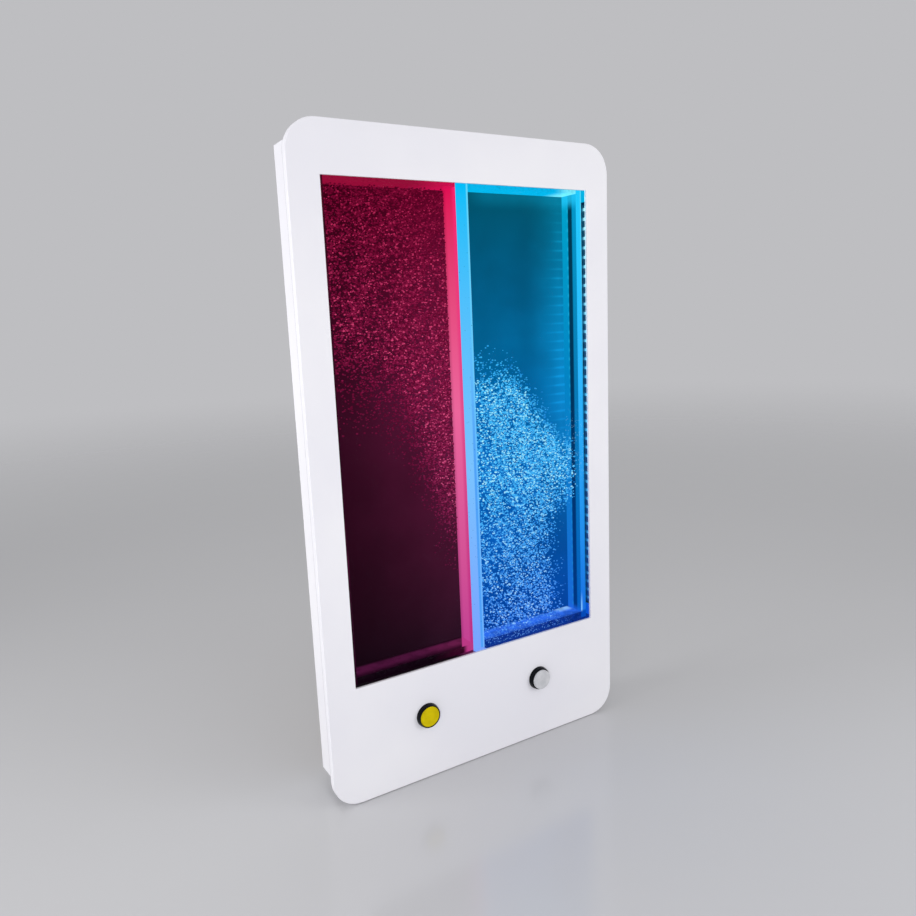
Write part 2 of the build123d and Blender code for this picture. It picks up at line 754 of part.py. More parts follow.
# Controller: case and lid on the back panel, circuit board on posts inside
case_low = shelf_low - case_shelf_gap - case_height
case_mid_z = case_low + case_height / 2
case_front_y = back_panel_front_y - case_depth
circuit_back_y = back_panel_front_y - case_wall - post_height
circuit_front_y = circuit_back_y - circuit_thickness
with BuildPart() as controller_case:
    with BuildSketch(wall_plane(back_panel_front_y)):
        with Locations((0, case_mid_z)):
            Rectangle(case_width, case_height)
    extrude(amount=case_depth)
    with BuildSketch(wall_plane(back_panel_front_y - case_wall)):
        with Locations((0, case_mid_z)):
            Rectangle(case_width - 2 * case_wall, case_height - 2 * case_wall)
    extrude(amount=case_depth, mode=Mode.SUBTRACT)
    with BuildSketch(wall_plane(back_panel_front_y - case_wall)):
        with Locations((0, case_mid_z)):
            with GridLocations(case_width - 2 * post_inset, case_height - 2 * post_inset, 2, 2):
                Circle(post_radius)
    extrude(amount=post_height)
save(controller_case, "controller_case")

slab("controller_lid", (-case_width / 2, case_width / 2), (case_front_y - case_wall, case_front_y),
     (case_low, case_low + case_height))

with BuildPart() as control_board:
    with BuildSketch(wall_plane(circuit_back_y)):
        with Locations((0, case_mid_z)):
            Rectangle(case_width - 2 * (case_wall + circuit_clearance),
                      case_height - 2 * (case_wall + circuit_clearance))
    extrude(amount=circuit_thickness)
    with BuildSketch(wall_plane(circuit_front_y)):
        with Locations((0, case_mid_z)):
            Rectangle(chip_side, chip_side)
    extrude(amount=chip_height)
    with BuildSketch(wall_plane(circuit_front_y)):
        with Locations((0, case_mid_z)):
            with GridLocations(0, case_height - 2 * (terminal_inset + terminal_depth / 2), 1, 2):
                Rectangle(terminal_width, terminal_depth)
    extrude(amount=terminal_height)
    with BuildSketch(wall_plane(circuit_front_y)):
        with Locations((0, case_mid_z)):
            with GridLocations(case_width / 2, 0, 2, 1):
                Circle(capacitor_radius)
    extrude(amount=capacitor_height)
save(control_board, "control_board")

# Power inlet in the bottom board: flanged barrel with a centre pin, and its nut inside the box
inlet_top = inner_low + inlet_length_above
with BuildPart() as power_inlet:
    with BuildSketch(Plane.XY.offset(box_low)):
        with Locations((0, -inlet_setback)):
            Circle(inlet_flange_radius)
    extrude(amount=-inlet_flange_thickness)
    with BuildSketch(Plane.XY.offset(box_low)):
        with Locations((0, -inlet_setback)):
            Circle(inlet_radius)
    extrude(amount=inlet_top - box_low)
    with BuildSketch(Plane.XY.offset(box_low - inlet_flange_thickness)):
        with Locations((0, -inlet_setback)):
            Circle(inlet_bore_radius)
            Circle(inlet_pin_radius, mode=Mode.SUBTRACT)
    extrude(amount=inlet_bore_depth, mode=Mode.SUBTRACT)
    with BuildSketch(Plane.XY.offset(inner_low)):
        with Locations((0, -inlet_setback)):
            RegularPolygon(inlet_nut_radius, side_count=6)
            Circle(inlet_radius + inlet_nut_fit, mode=Mode.SUBTRACT)
    extrude(amount=inlet_nut_thickness)
save(power_inlet, "power_inlet")

# Wall rail: screwed to the wall, with a lip that stands clear of it
lip_back_y = -(rail_sheet + 2 * rail_play)
lip_front_y = lip_back_y - rail_sheet
with BuildPart() as wall_rail:
    with BuildSketch(Plane.YZ.offset(-rail_length / 2)):
        with BuildLine():
            Polyline((0, -rail_below), (0, rail_lip_base), (lip_back_y, rail_lip_base),
                     (lip_back_y, rail_lip_top), (lip_front_y, rail_lip_top), (lip_front_y, rail_jog_height),
                     (-rail_sheet, rail_jog_height), (-rail_sheet, -rail_below), close=True)
        make_face()
    extrude(amount=rail_length)
    with BuildSketch(wall_plane(0)):
        with GridLocations(wall_screw_spacing, 0, wall_screw_count, 1):
            Circle(wall_screw_radius)
    extrude(amount=rail_sheet + cut, mode=Mode.SUBTRACT)
save(wall_rail, "wall_rail")

# Hanging rail: screwed to the back panel, its leg hooks down behind the wall rail's lip
leg_back_y = -rail_play
leg_front_y = leg_back_y - rail_sheet
leg_low = rail_lip_top - rail_leg_length
hook_top = rail_lip_top + rail_sheet
with BuildPart() as hanging_rail:
    with BuildSketch(Plane.YZ.offset(-rail_length / 2)):
        with BuildLine():
            Polyline((back_panel_y, -rail_below), (back_panel_y, hook_top), (leg_back_y, hook_top),
                     (leg_back_y, leg_low), (leg_front_y, leg_low), (leg_front_y, rail_lip_top),
                     (back_panel_y + rail_sheet, rail_lip_top), (back_panel_y + rail_sheet, -rail_below),
                     close=True)
        make_face()
    extrude(amount=rail_length)
    with BuildSketch(wall_plane(back_panel_y + rail_sheet)):
        with Locations(*rail_screw_places):
            Circle(screw_hole_radius)
    extrude(amount=rail_sheet, mode=Mode.SUBTRACT)
save(hanging_rail, "hanging_rail")


def make_button(colour, button_x, pressed):
    """One push button with its plunger pushed in by the given amount."""
    centre = (button_x, front_y, button_z)
    profile_plane = Plane(origin=centre, x_dir=(1, 0, 0), z_dir=(0, 0, 1))
    button_axis = Axis(centre, (0, 1, 0))

    def at_depth(depth):
        """A plane across the button's axis, facing the viewer."""
        return Plane(origin=(button_x, front_y + depth, button_z), x_dir=(1, 0, 0), z_dir=(0, -1, 0))

    cup_floor_back = cup_floor_depth + cup_floor_thickness
    with BuildPart() as bezel:
        with BuildSketch(profile_plane):
            with BuildLine():
                Polyline((0, cup_floor_depth), (cup_radius, cup_floor_depth), (cup_radius, -bezel_rise),
                         (bezel_radius - bezel_rim_inset, -bezel_rise))
                ThreePointArc((bezel_radius - bezel_rim_inset, -bezel_rise),
                              (bezel_radius - bezel_shoulder_inset, -bezel_shoulder_rise), (bezel_radius, 0))
                Polyline((bezel_radius, 0), (barrel_radius, 0), (barrel_radius, barrel_depth),
                         (cup_radius, barrel_depth), (cup_radius, cup_floor_back), (0, cup_floor_back),
                         (0, cup_floor_depth))
            make_face()
        revolve(axis=button_axis)
        with BuildSketch(at_depth(cup_floor_back)):
            with Locations((rod_offset, 0)):
                Circle(rod_radius + rod_clearance)
        extrude(amount=cup_floor_thickness, mode=Mode.SUBTRACT)
    save(bezel, f"{colour}_button_bezel")

    with BuildPart() as nut:
        with BuildSketch(at_depth(fascia_thickness + button_nut_thickness)):
            RegularPolygon(button_nut_flat_radius, major_radius=False, side_count=6)
            Circle(barrel_radius + button_nut_fit, mode=Mode.SUBTRACT)
        extrude(amount=button_nut_thickness)
    save(nut, f"{colour}_button_nut")

    face_depth = pressed - lens_rise
    ring_front = face_depth + lens_thickness
    floor_back = ring_front + plunger_height + plunger_floor
    with BuildPart() as lens:
        with BuildSketch(at_depth(ring_front)):
            Circle(lens_radius)
        extrude(amount=lens_thickness)
        chamfer(lens.faces().sort_by(Axis.Y)[0].edges(), lens_chamfer)
    save(lens, f"{colour}_button_lens")

    with BuildPart() as plunger:
        with BuildSketch(at_depth(floor_back)):
            Circle(plunger_radius)
        extrude(amount=plunger_height + plunger_floor)
        with BuildSketch(at_depth(floor_back - plunger_floor)):
            Circle(plunger_radius - plunger_wall)
        extrude(amount=plunger_height, mode=Mode.SUBTRACT)
        with BuildSketch(at_depth(floor_back)):
            Circle(lamp_post_radius + lamp_clearance)
        extrude(amount=plunger_floor, mode=Mode.SUBTRACT)
        with BuildSketch(at_depth(floor_back)):
            with Locations((rod_offset, 0)):
                Circle(rod_radius)
        extrude(amount=floor_back - (rod_end_depth - button_travel + pressed))
        fillet(plunger.faces().sort_by(Axis.Y)[-1].edges(), rod_radius * rod_tip_share)
    save(plunger, f"{colour}_button_plunger")

    with BuildPart() as lamp:
        with BuildSketch(at_depth(cup_floor_depth)):
            Circle(lamp_post_radius)
        extrude(amount=lamp_post_height)
        with BuildSketch(at_depth(cup_floor_depth - lamp_post_height)):
            Circle(lamp_radius)
        extrude(amount=lamp_height)
        fillet(lamp.faces().sort_by(Axis.Y)[0].edges(), lamp_radius * lamp_dome_share)
    save(lamp, f"{colour}_button_lamp")

    spring_start = floor_back + spring_wire_radius + spring_end_gap
    spring_end = cup_floor_depth - spring_wire_radius - spring_end_gap
    spring_pitch = (spring_end - spring_start) / spring_turns
    with BuildPart() as spring:
        with BuildLine():
            coil = Helix(spring_pitch, spring_end - spring_start, spring_radius,
                         center=(button_x, front_y + spring_start, button_z), direction=(0, 1, 0))
        with BuildSketch(Plane(origin=coil @ 0, z_dir=coil % 0)):
            Circle(spring_wire_radius)
        sweep()
    save(spring, f"{colour}_button_spring")

    pivot = (button_x + lever_pivot_x, front_y + lever_pivot_depth)
    switch_mid_y = front_y + switch_face_depth + switch_depth / 2
    with BuildPart() as switch:
        with BuildSketch(at_depth(switch_face_depth + switch_depth)):
            RectangleRounded(switch_length, switch_width, switch_corner_round)
        extrude(amount=switch_depth)
        with BuildSketch(Plane.XY.offset(button_z - switch_width / 2)):
            with Locations(pivot):
                Circle(lever_hub_radius + lever_hub_clearance)
            with Locations(*[(button_x + edge * switch_hole_spread, switch_mid_y) for edge in (-1, 1)]):
                Circle(switch_hole_radius)
        extrude(amount=switch_width, mode=Mode.SUBTRACT)
    save(switch, f"{colour}_button_switch")

    turn = (button_travel - pressed) / lever_arm
    lever_plane = Plane(origin=(*pivot, button_z - lever_width / 2),
                        x_dir=(math.cos(turn), -math.sin(turn), 0), z_dir=(0, 0, 1))
    with BuildPart() as switch_lever:
        with BuildSketch(lever_plane):
            Circle(lever_hub_radius)
            with Locations(((lever_arm + lever_overhang) / 2, 0)):
                Rectangle(lever_arm + lever_overhang, lever_thickness)
        extrude(amount=lever_width)
    save(switch_lever, f"{colour}_button_lever")

    arm_middle = switch_width / 2 + holder_clearance + holder_sheet / 2
    switch_back = switch_face_depth + switch_depth
    with BuildPart() as switch_holder:
        with BuildSketch(at_depth(switch_back + holder_sheet)):
            Rectangle(switch_length, 2 * arm_middle + holder_sheet)
        extrude(amount=holder_sheet)
        with BuildSketch(at_depth(switch_back)):
            with GridLocations(0, 2 * arm_middle, 1, 2):
                Rectangle(switch_length, holder_sheet)
        extrude(amount=switch_back - cup_floor_back)
    save(switch_holder, f"{colour}_button_holder")


make_button("yellow", -button_x_reach, latch_travel)
make_button("white", button_x_reach, 0)
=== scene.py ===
import json
import math

import bpy
import numpy as np
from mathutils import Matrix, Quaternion, Vector


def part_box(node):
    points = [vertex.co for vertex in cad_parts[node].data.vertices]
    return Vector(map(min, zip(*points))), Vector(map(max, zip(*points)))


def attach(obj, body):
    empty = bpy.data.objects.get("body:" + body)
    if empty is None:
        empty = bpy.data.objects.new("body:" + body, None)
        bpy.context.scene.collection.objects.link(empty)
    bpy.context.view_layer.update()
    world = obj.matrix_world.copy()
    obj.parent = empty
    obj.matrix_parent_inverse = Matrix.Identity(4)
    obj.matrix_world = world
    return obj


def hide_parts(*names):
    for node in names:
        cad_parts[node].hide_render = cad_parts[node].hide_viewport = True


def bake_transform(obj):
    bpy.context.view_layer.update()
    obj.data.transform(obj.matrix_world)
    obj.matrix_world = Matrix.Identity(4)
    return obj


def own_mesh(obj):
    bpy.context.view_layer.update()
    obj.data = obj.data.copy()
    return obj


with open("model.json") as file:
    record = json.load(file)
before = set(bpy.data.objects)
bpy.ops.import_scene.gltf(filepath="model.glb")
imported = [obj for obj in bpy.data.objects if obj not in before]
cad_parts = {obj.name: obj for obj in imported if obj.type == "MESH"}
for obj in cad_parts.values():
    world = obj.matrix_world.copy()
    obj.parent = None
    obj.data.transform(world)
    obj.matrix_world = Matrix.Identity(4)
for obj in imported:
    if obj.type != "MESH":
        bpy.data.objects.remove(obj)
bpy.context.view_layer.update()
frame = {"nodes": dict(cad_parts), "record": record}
slotOf = {part["node"]: part["material_slot"] for part in frame["record"]["subparts"]}
print("frame loaded:", len(frame["nodes"]), "nodes")

# Places that many materials share, read from the frame
paneLow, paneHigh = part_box("front_pane")
dividerLow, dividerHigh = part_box("tank_divider")
wallLow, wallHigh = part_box("tank_wall_right")
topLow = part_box("tank_top_right")[0]
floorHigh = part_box("tank_bottom_right")[1]
stripLow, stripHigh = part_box("led_strip_right")
fasciaLow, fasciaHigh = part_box("fascia")
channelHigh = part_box("led_channels")[1]
shelfLow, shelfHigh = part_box("tank_shelf")
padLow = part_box("tank_pads")[0]
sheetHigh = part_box("backing_sheet")[1]

chamber = {
    "innerX": dividerHigh.x,
    "outerX": wallLow.x,
    "frontY": wallLow.y,
    "backY": wallHigh.y,
    "lowZ": floorHigh.z,
    "highZ": topLow.z,
    "ledPitch": 0.05 / 3,
    "ledFirstZ": (stripLow.z + stripHigh.z) / 2 - 0.025 / 3,
    "hair": 0.0001,
}


# A colour as a screen shows it, 0 to 255 a channel, turned into the linear colour that shaders take
def screenColour(red, green, blue):
    shares = np.array([red, green, blue], float) / 255
    linear = np.where(shares <= 0.04045, shares / 12.92, ((shares + 0.055) / 1.055) ** 2.4)
    return (*[float(x) for x in linear], 1.0)


# Gives a socket a link or a value; a colour of three channels is a screen colour
def connect(tree, value, socket):
    if isinstance(value, bpy.types.NodeSocket):
        tree.links.new(value, socket)
    elif socket.type == "RGBA" and len(value) == 3:
        socket.default_value = screenColour(*value)
    else:
        socket.default_value = value


def addNode(tree, kind, inputs=None, **settings):
    node = tree.nodes.new(kind)
    for name, value in settings.items():
        setattr(node, name, value)
    for key, value in (inputs or {}).items():
        connect(tree, value, node.inputs[key])
    return node


def calculate(tree, operation, *values, clamp=False):
    node = addNode(tree, "ShaderNodeMath", operation=operation, use_clamp=clamp)
    for index, value in enumerate(values):
        connect(tree, value, node.inputs[index])
    return node.outputs[0]


def times(tree, *factors):
    product = factors[0]
    for factor in factors[1:]:
        product = calculate(tree, "MULTIPLY", product, factor)
    return product


def isOver(tree, value, limit):
    return calculate(tree, "GREATER_THAN", value, limit)


def isUnder(tree, value, limit):
    return calculate(tree, "LESS_THAN", value, limit)


def onRight(tree, x):
    return isOver(tree, x, 0.0)


def opposite(tree, share):
    return calculate(tree, "SUBTRACT", 1.0, share)


def sizeOf(tree, value):
    return calculate(tree, "ABSOLUTE", value)


def gapTo(tree, value, place):
    return sizeOf(tree, calculate(tree, "SUBTRACT", value, place))


def noiseAt(tree, point, scale, detail, **more):
    return addNode(tree, "ShaderNodeTexNoise", {"Vector": point, "Scale": scale, "Detail": detail, **more}).outputs[0]


def blendColours(tree, factor, first, second, way="MIX"):
    node = addNode(tree, "ShaderNodeMix", data_type="RGBA", blend_type=way)
    connect(tree, factor, node.inputs[0])
    connect(tree, first, node.inputs[6])
    connect(tree, second, node.inputs[7])
    return node.outputs[2]


# A colour made evenly darker or brighter
def shaded(tree, colour, share):
    grey = addNode(tree, "ShaderNodeCombineColor", {0: share, 1: share, 2: share}).outputs[0]
    return blendColours(tree, 1.0, colour, grey, "MULTIPLY")


# Takes a value from one span to another, and holds it at the ends
def stretch(tree, value, low, high, toLow=0.0, toHigh=1.0, smooth=True):
    node = addNode(tree, "ShaderNodeMapRange", {0: value, 1: low, 2: high, 3: toLow, 4: toHigh},
                   interpolation_type="SMOOTHSTEP" if smooth else "LINEAR")
    return node.outputs[0]


# The point's place on the piece, as one vector and as X, Y and Z
def placeOf(tree):
    point = addNode(tree, "ShaderNodeTexCoord").outputs["Object"]
    parts = addNode(tree, "ShaderNodeSeparateXYZ", {0: point}).outputs
    return point, parts[0], parts[1], parts[2]


def newGroup(name, inputs, outputs):
    tree = bpy.data.node_groups.new(name, "ShaderNodeTree")
    kinds = {"colour": "NodeSocketColor", "number": "NodeSocketFloat", "vector": "NodeSocketVector"}
    for title, kind, value in inputs:
        socket = tree.interface.new_socket(name=title, in_out="INPUT", socket_type=kinds[kind])
        socket.default_value = value
    for title, kind in outputs:
        tree.interface.new_socket(name=title, in_out="OUTPUT", socket_type=kinds[kind])
    return tree, addNode(tree, "NodeGroupInput").outputs, addNode(tree, "NodeGroupOutput").inputs


def useGroup(tree, group, **values):
    node = addNode(tree, "ShaderNodeGroup", node_tree=group)
    for name, value in values.items():
        connect(tree, value, node.inputs[name])
    return node.outputs


black = (0.0, 0.0, 0.0, 1.0)
white = (1.0, 1.0, 1.0, 1.0)
paleDust = (0.6, 0.6, 0.6, 1.0)


# Three colours one above the other, blended by height
def makeHeightBlend():
    tree, given, made = newGroup("heightBlend", [
        ("Z", "number", 0.0), ("Low", "colour", black), ("Middle", "colour", black), ("High", "colour", black),
        ("LowZ", "number", 0.0), ("MiddleZ", "number", 0.5), ("HighZ", "number", 1.0)], [("Colour", "colour")])
    lower = stretch(tree, given["Z"], given["LowZ"], given["MiddleZ"], smooth=False)
    upper = stretch(tree, given["Z"], given["MiddleZ"], given["HighZ"], smooth=False)
    below = blendColours(tree, lower, given["Low"], given["Middle"])
    connect(tree, blendColours(tree, upper, below, given["High"]), made["Colour"])
    return tree


# Round spots in a row at the lights' pitch: a cosine of the height, raised to a power
def makePitchSpots():
    tree, given, made = newGroup("pitchSpots", [
        ("Z", "number", 0.0), ("FirstZ", "number", 0.0), ("Pitch", "number", 0.0167), ("Power", "number", 2.0)],
        [("Mask", "number")])
    steps = calculate(tree, "DIVIDE", calculate(tree, "SUBTRACT", given["Z"], given["FirstZ"]), given["Pitch"])
    wave = calculate(tree, "COSINE", times(tree, steps, math.tau))
    lifted = calculate(tree, "MULTIPLY_ADD", wave, -0.5, 0.5)
    connect(tree, calculate(tree, "POWER", lifted, given["Power"]), made["Mask"])
    return tree


# Small scattered specks: cells of a Voronoi pattern whose centre is near, and whose random value is high
def makeSpecks():
    tree, given, made = newGroup("specks", [
        ("Point", "vector", (0, 0, 0)), ("Scale", "number", 300.0), ("Share", "number", 0.2),
        ("Size", "number", 0.25)], [("Mask", "number")])
    cells = addNode(tree, "ShaderNodeTexVoronoi", {"Vector": given["Point"], "Scale": given["Scale"]})
    pick = addNode(tree, "ShaderNodeSeparateColor", {0: cells.outputs["Color"]}).outputs[0]
    chosen = isUnder(tree, pick, given["Share"])
    near = stretch(tree, cells.outputs["Distance"], given["Size"], 0.0)
    connect(tree, times(tree, chosen, near), made["Mask"])
    return tree


# A surface that isn't quite even: a height for the bump and a spread for the roughness
def makeFineGrain():
    tree, given, made = newGroup("fineGrain", [
        ("Point", "vector", (0, 0, 0)), ("Scale", "number", 500.0), ("Base", "number", 0.4),
        ("Spread", "number", 0.1)], [("Height", "number"), ("Roughness", "number")])
    small = noiseAt(tree, given["Point"], given["Scale"], 3.0)
    wide = noiseAt(tree, given["Point"], 14.0, 4.0)
    centred = calculate(tree, "SUBTRACT", wide, 0.5)
    connect(tree, small, made["Height"])
    connect(tree, calculate(tree, "MULTIPLY_ADD", centred, given["Spread"], given["Base"]), made["Roughness"])
    return tree


# Lines drawn along one axis: noise that is squeezed across them
def makeLines():
    tree, given, made = newGroup("drawnLines", [
        ("Point", "vector", (0, 0, 0)), ("Squeeze", "vector", (1, 1, 1)), ("Scale", "number", 900.0)],
        [("Height", "number")])
    squeezed = addNode(tree, "ShaderNodeVectorMath", {0: given["Point"], 1: given["Squeeze"]}, operation="MULTIPLY")
    connect(tree, noiseAt(tree, squeezed.outputs[0], given["Scale"], 4.0, Roughness=0.6), made["Height"])
    return tree


heightBlend = makeHeightBlend()
pitchSpots = makePitchSpots()
specks = makeSpecks()
fineGrain = makeFineGrain()
drawnLines = makeLines()
print("shader groups made:", len(bpy.data.node_groups))


def specksAt(tree, point, scale, share, size):
    return useGroup(tree, specks, Point=point, Scale=scale, Share=share, Size=size)["Mask"]


def linesAt(tree, point, squeeze, scale):
    return useGroup(tree, drawnLines, Point=point, Squeeze=squeeze, Scale=scale)["Height"]


# Puts colours, values and links on the shader's own sockets
def feed(tree, shader, **sockets):
    for key, value in sockets.items():
        connect(tree, value, shader.inputs[key.replace("_", " ")])


# A material with one Principled shader; plain values go on its own sockets
def newMaterial(name, **plain):
    material = bpy.data.materials.new(name)
    material.use_nodes = True
    tree = material.node_tree
    shader = tree.nodes["Principled BSDF"]
    feed(tree, shader, **plain)
    return material, tree, shader


def bumpFrom(tree, shader, height, depth, strength=1.0):
    bump = addNode(tree, "ShaderNodeBump", {"Height": height, "Distance": depth, "Strength": strength})
    tree.links.new(bump.outputs[0], shader.inputs["Normal"])


# Light that reaches the dark places under the chambers: almost none on the left, deep blue on the right, and
# below the divider its own glow
def spilledLight(tree, x):
    look = {"left": (9, 1, 7), "right": (5, 44, 132), "nearDivider": (86, 22, 65), "reach": (-0.05, -0.02)}
    sides = blendColours(tree, onRight(tree, x), look["left"], look["right"])
    near = times(tree, stretch(tree, x, *look["reach"]), isUnder(tree, x, dividerLow.x))
    sides = blendColours(tree, near, sides, look["nearDivider"])
    below = isUnder(tree, sizeOf(tree, x), dividerHigh.x)
    return blendColours(tree, below, sides, bluePaint["side"][0])


# White lacquer on board: fine orange peel, a sheen that varies a little, and a painted shadow line where the
# boards meet the fascia. The fascia's is black in the rebate behind the window as painted shade, with the spilled
# light painted on it; the lights' glow is painted on the sides of its cut and on the side boards beside the tank,
# which are black there as painted shade
def makeLacquer(name, fascia=False, side=0):
    look = {"colour": (240, 239, 244), "shade": (234, 233, 240), "cloudScale": 3.0,
            "roughness": 0.36, "sheenSpread": 0.12, "peelScale": 620.0, "peelDepth": 0.00004,
            "joint": (150, 150, 156), "jointOuter": 0.0008, "jointInner": 0.0003,
            "dark": (12, 10, 15), "spareX": 0.0006, "rebateSpareZ": 0.0016, "boardSpareZ": 0.003,
            "cutX": 0.25, "cutGlow": 0.9, "cutSpots": 1.5, "cutDim": 0.4}
    material, tree, shader = newMaterial(name)
    point, x, y, z = placeOf(tree)
    grain = useGroup(tree, fineGrain, Point=point, Scale=look["peelScale"], Base=look["roughness"],
                     Spread=look["sheenSpread"])
    cloud = noiseAt(tree, point, look["cloudScale"], 3.0)
    colour = blendColours(tree, stretch(tree, cloud, 0.35, 0.65), look["shade"], look["colour"])
    # Painted shadow line: the lacquer is greyer in a thin band where the boards meet the fascia's back
    joint = stretch(tree, gapTo(tree, y, fasciaHigh.y), look["jointOuter"], look["jointInner"])
    colour = blendColours(tree, joint, colour, look["joint"])
    if fascia or side:
        across = sizeOf(tree, x)
        within = isUnder(tree, across, channelHigh.x + look["spareX"])
        level = gapTo(tree, z, (paneLow.z + paneHigh.z) / 2)
        halfPane = (paneHigh.z - paneLow.z) / 2
    if fascia:
        deep = isOver(tree, y, paneLow.y + chamber["hair"])
        # Painted shade: the rebate behind the window is black, and only the spilled light is painted on it
        rebate = times(tree, deep, within, isUnder(tree, level, halfPane + look["rebateSpareZ"]))
        colour = blendColours(tree, rebate, colour, look["dark"])
        cut = times(tree, isUnder(tree, gapTo(tree, across, look["cutX"]), chamber["hair"]), opposite(tree, deep),
                    stretch(tree, y, fasciaLow.y, paneLow.y, 0.0, look["cutGlow"]),
                    stretch(tree, ledSpots(tree, z, look["cutSpots"]), 0.0, 1.0, look["cutDim"], 1.0))
        glow = blendColours(tree, onRight(tree, x), *(
            heightColours(tree, z, *paint["cut"]) for paint in (pinkPaint, bluePaint)))
        spill = blendColours(tree, rebate, black, spilledLight(tree, x))
        feed(tree, shader, Emission_Color=blendColours(tree, cut, spill, glow), Emission_Strength=1.0)
    if side:
        # Painted shade and painted light: beside the tank the boards are black, with the lights' glow painted on them
        inner = times(tree, within, isUnder(tree, y, shelfHigh.y),
                      isUnder(tree, level, halfPane + look["boardSpareZ"]))
        lit = heightColours(tree, z, *paintOf[side]["board"])
        colour = blendColours(tree, inner, colour, look["dark"])
        feed(tree, shader, Emission_Color=blendColours(tree, inner, black, lit), Emission_Strength=1.0)
    feed(tree, shader, Base_Color=colour, Roughness=grain["Roughness"])
    bumpFrom(tree, shader, grain["Height"], look["peelDepth"], 0.5)
    return material


# Bare fibreboard and beech: fibres along one axis, with darker flecks. Under the tank the shelf's top and front
# edge are dark as painted shade, with the spilled light painted on them
def makeWood(name, light, dark, squeeze, scale, shadeUnderTank=False):
    look = {"fleckScale": 420.0, "fleckShare": 0.25, "fleckSize": 0.3, "fleckDepth": 0.35, "fibreDepth": 0.0002,
            "tankShade": (14, 12, 18), "tankShadeReach": 0.0015}
    material, tree, shader = newMaterial(name)
    point, x, y, z = placeOf(tree)
    fibre = linesAt(tree, point, squeeze, scale)
    fleck = specksAt(tree, point, look["fleckScale"], look["fleckShare"], look["fleckSize"])
    colour = blendColours(tree, stretch(tree, fibre, 0.3, 0.7), dark, light)
    colour = blendColours(tree, times(tree, fleck, look["fleckDepth"]), colour, dark)
    if shadeUnderTank:
        # Painted shade on the shelf's top and front edge under the tank, with the spilled light painted there
        onTop = isOver(tree, z, shelfHigh.z - look["tankShadeReach"])
        inFront = isUnder(tree, y, shelfLow.y + look["tankShadeReach"])
        tankShade = calculate(tree, "MAXIMUM", onTop, inFront)
        colour = blendColours(tree, tankShade, colour, look["tankShade"])
        spill = blendColours(tree, tankShade, black, spilledLight(tree, x))
        feed(tree, shader, Emission_Color=spill, Emission_Strength=1.0)
    feed(tree, shader, Base_Color=colour, Roughness=stretch(tree, fibre, 0.2, 0.8, 0.62, 0.8))
    bumpFrom(tree, shader, fibre, look["fibreDepth"], 0.4)
    return material


# Moulded plastic, rubber and hose: a fine grain, and dust that lightens it in places
def makeMoulded(name, colour, roughness, scale=800.0, depth=0.00005, dust=0.06, **plain):
    material, tree, shader = newMaterial(name, **plain)
    point = placeOf(tree)[0]
    look = {"sheenSpread": 0.16, "dustScale": 45.0}
    grain = useGroup(tree, fineGrain, Point=point, Scale=scale, Base=roughness, Spread=look["sheenSpread"])
    amount = times(tree, stretch(tree, noiseAt(tree, point, look["dustScale"], 5.0), 0.5, 0.75), dust)
    feed(tree, shader, Base_Color=blendColours(tree, amount, colour, paleDust), Roughness=grain["Roughness"])
    bumpFrom(tree, shader, grain["Height"], depth, 0.5)
    return material


# Metal: drawn or brushed along one axis, with a roughness that follows the lines
def makeMetal(name, colour, roughness, squeeze, scale=700.0):
    look = {"darker": 0.8, "spread": 0.08, "depth": 0.00003}
    material, tree, shader = newMaterial(name, Metallic=1.0)
    point = placeOf(tree)[0]
    line = linesAt(tree, point, squeeze, scale)
    darker = (*(look["darker"] * channel for channel in screenColour(*colour)[:3]), 1.0)
    feed(tree, shader, Base_Color=blendColours(tree, stretch(tree, line, 0.3, 0.7), darker, colour),
         Roughness=stretch(tree, line, 0.2, 0.8, roughness - look["spread"], roughness + look["spread"]))
    bumpFrom(tree, shader, line, look["depth"], 0.4)
    return material


# Open foam: round cells
def makeFoam():
    look = {"cellScale": 900.0, "deep": (0.004, 0.004, 0.005, 1), "skin": (0.03, 0.03, 0.034, 1)}
    material, tree, shader = newMaterial("darkFoam", Roughness=0.95)
    point = placeOf(tree)[0]
    cells = addNode(tree, "ShaderNodeTexVoronoi", {"Vector": point, "Scale": look["cellScale"]}).outputs["Distance"]
    feed(tree, shader, Base_Color=blendColours(tree, stretch(tree, cells, 0.0, 0.6), look["deep"], look["skin"]))
    bumpFrom(tree, shader, cells, 0.0005, 0.8)
    return material


# Circuit board: green varnish over copper tracks, which a brick pattern draws; parts standing on it are dark
def makeCircuit():
    look = {"varnish": (0.005, 0.09, 0.03, 1), "paler": (0.006, 0.11, 0.04, 1), "track": (0.02, 0.19, 0.07, 1),
            "parts": (0.012, 0.012, 0.014, 1), "boardThickness": 0.0017}
    material, tree, shader = newMaterial("circuitBoard", Roughness=0.4)
    x, y, z = placeOf(tree)[1:]
    flat = addNode(tree, "ShaderNodeCombineXYZ", {0: x, 1: z, 2: 0.0}).outputs[0]
    tracks = addNode(tree, "ShaderNodeTexBrick", {
        "Vector": flat, "Scale": 160.0, "Mortar Size": 0.05, "Color1": look["varnish"], "Color2": look["paler"],
        "Mortar": look["track"]})
    raised = isUnder(tree, y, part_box("control_board")[1].y - look["boardThickness"])
    feed(tree, shader, Base_Color=blendColours(tree, raised, tracks.outputs[0], look["parts"]))
    bumpFrom(tree, shader, tracks.outputs["Fac"], 0.00005, 0.5)
    return material


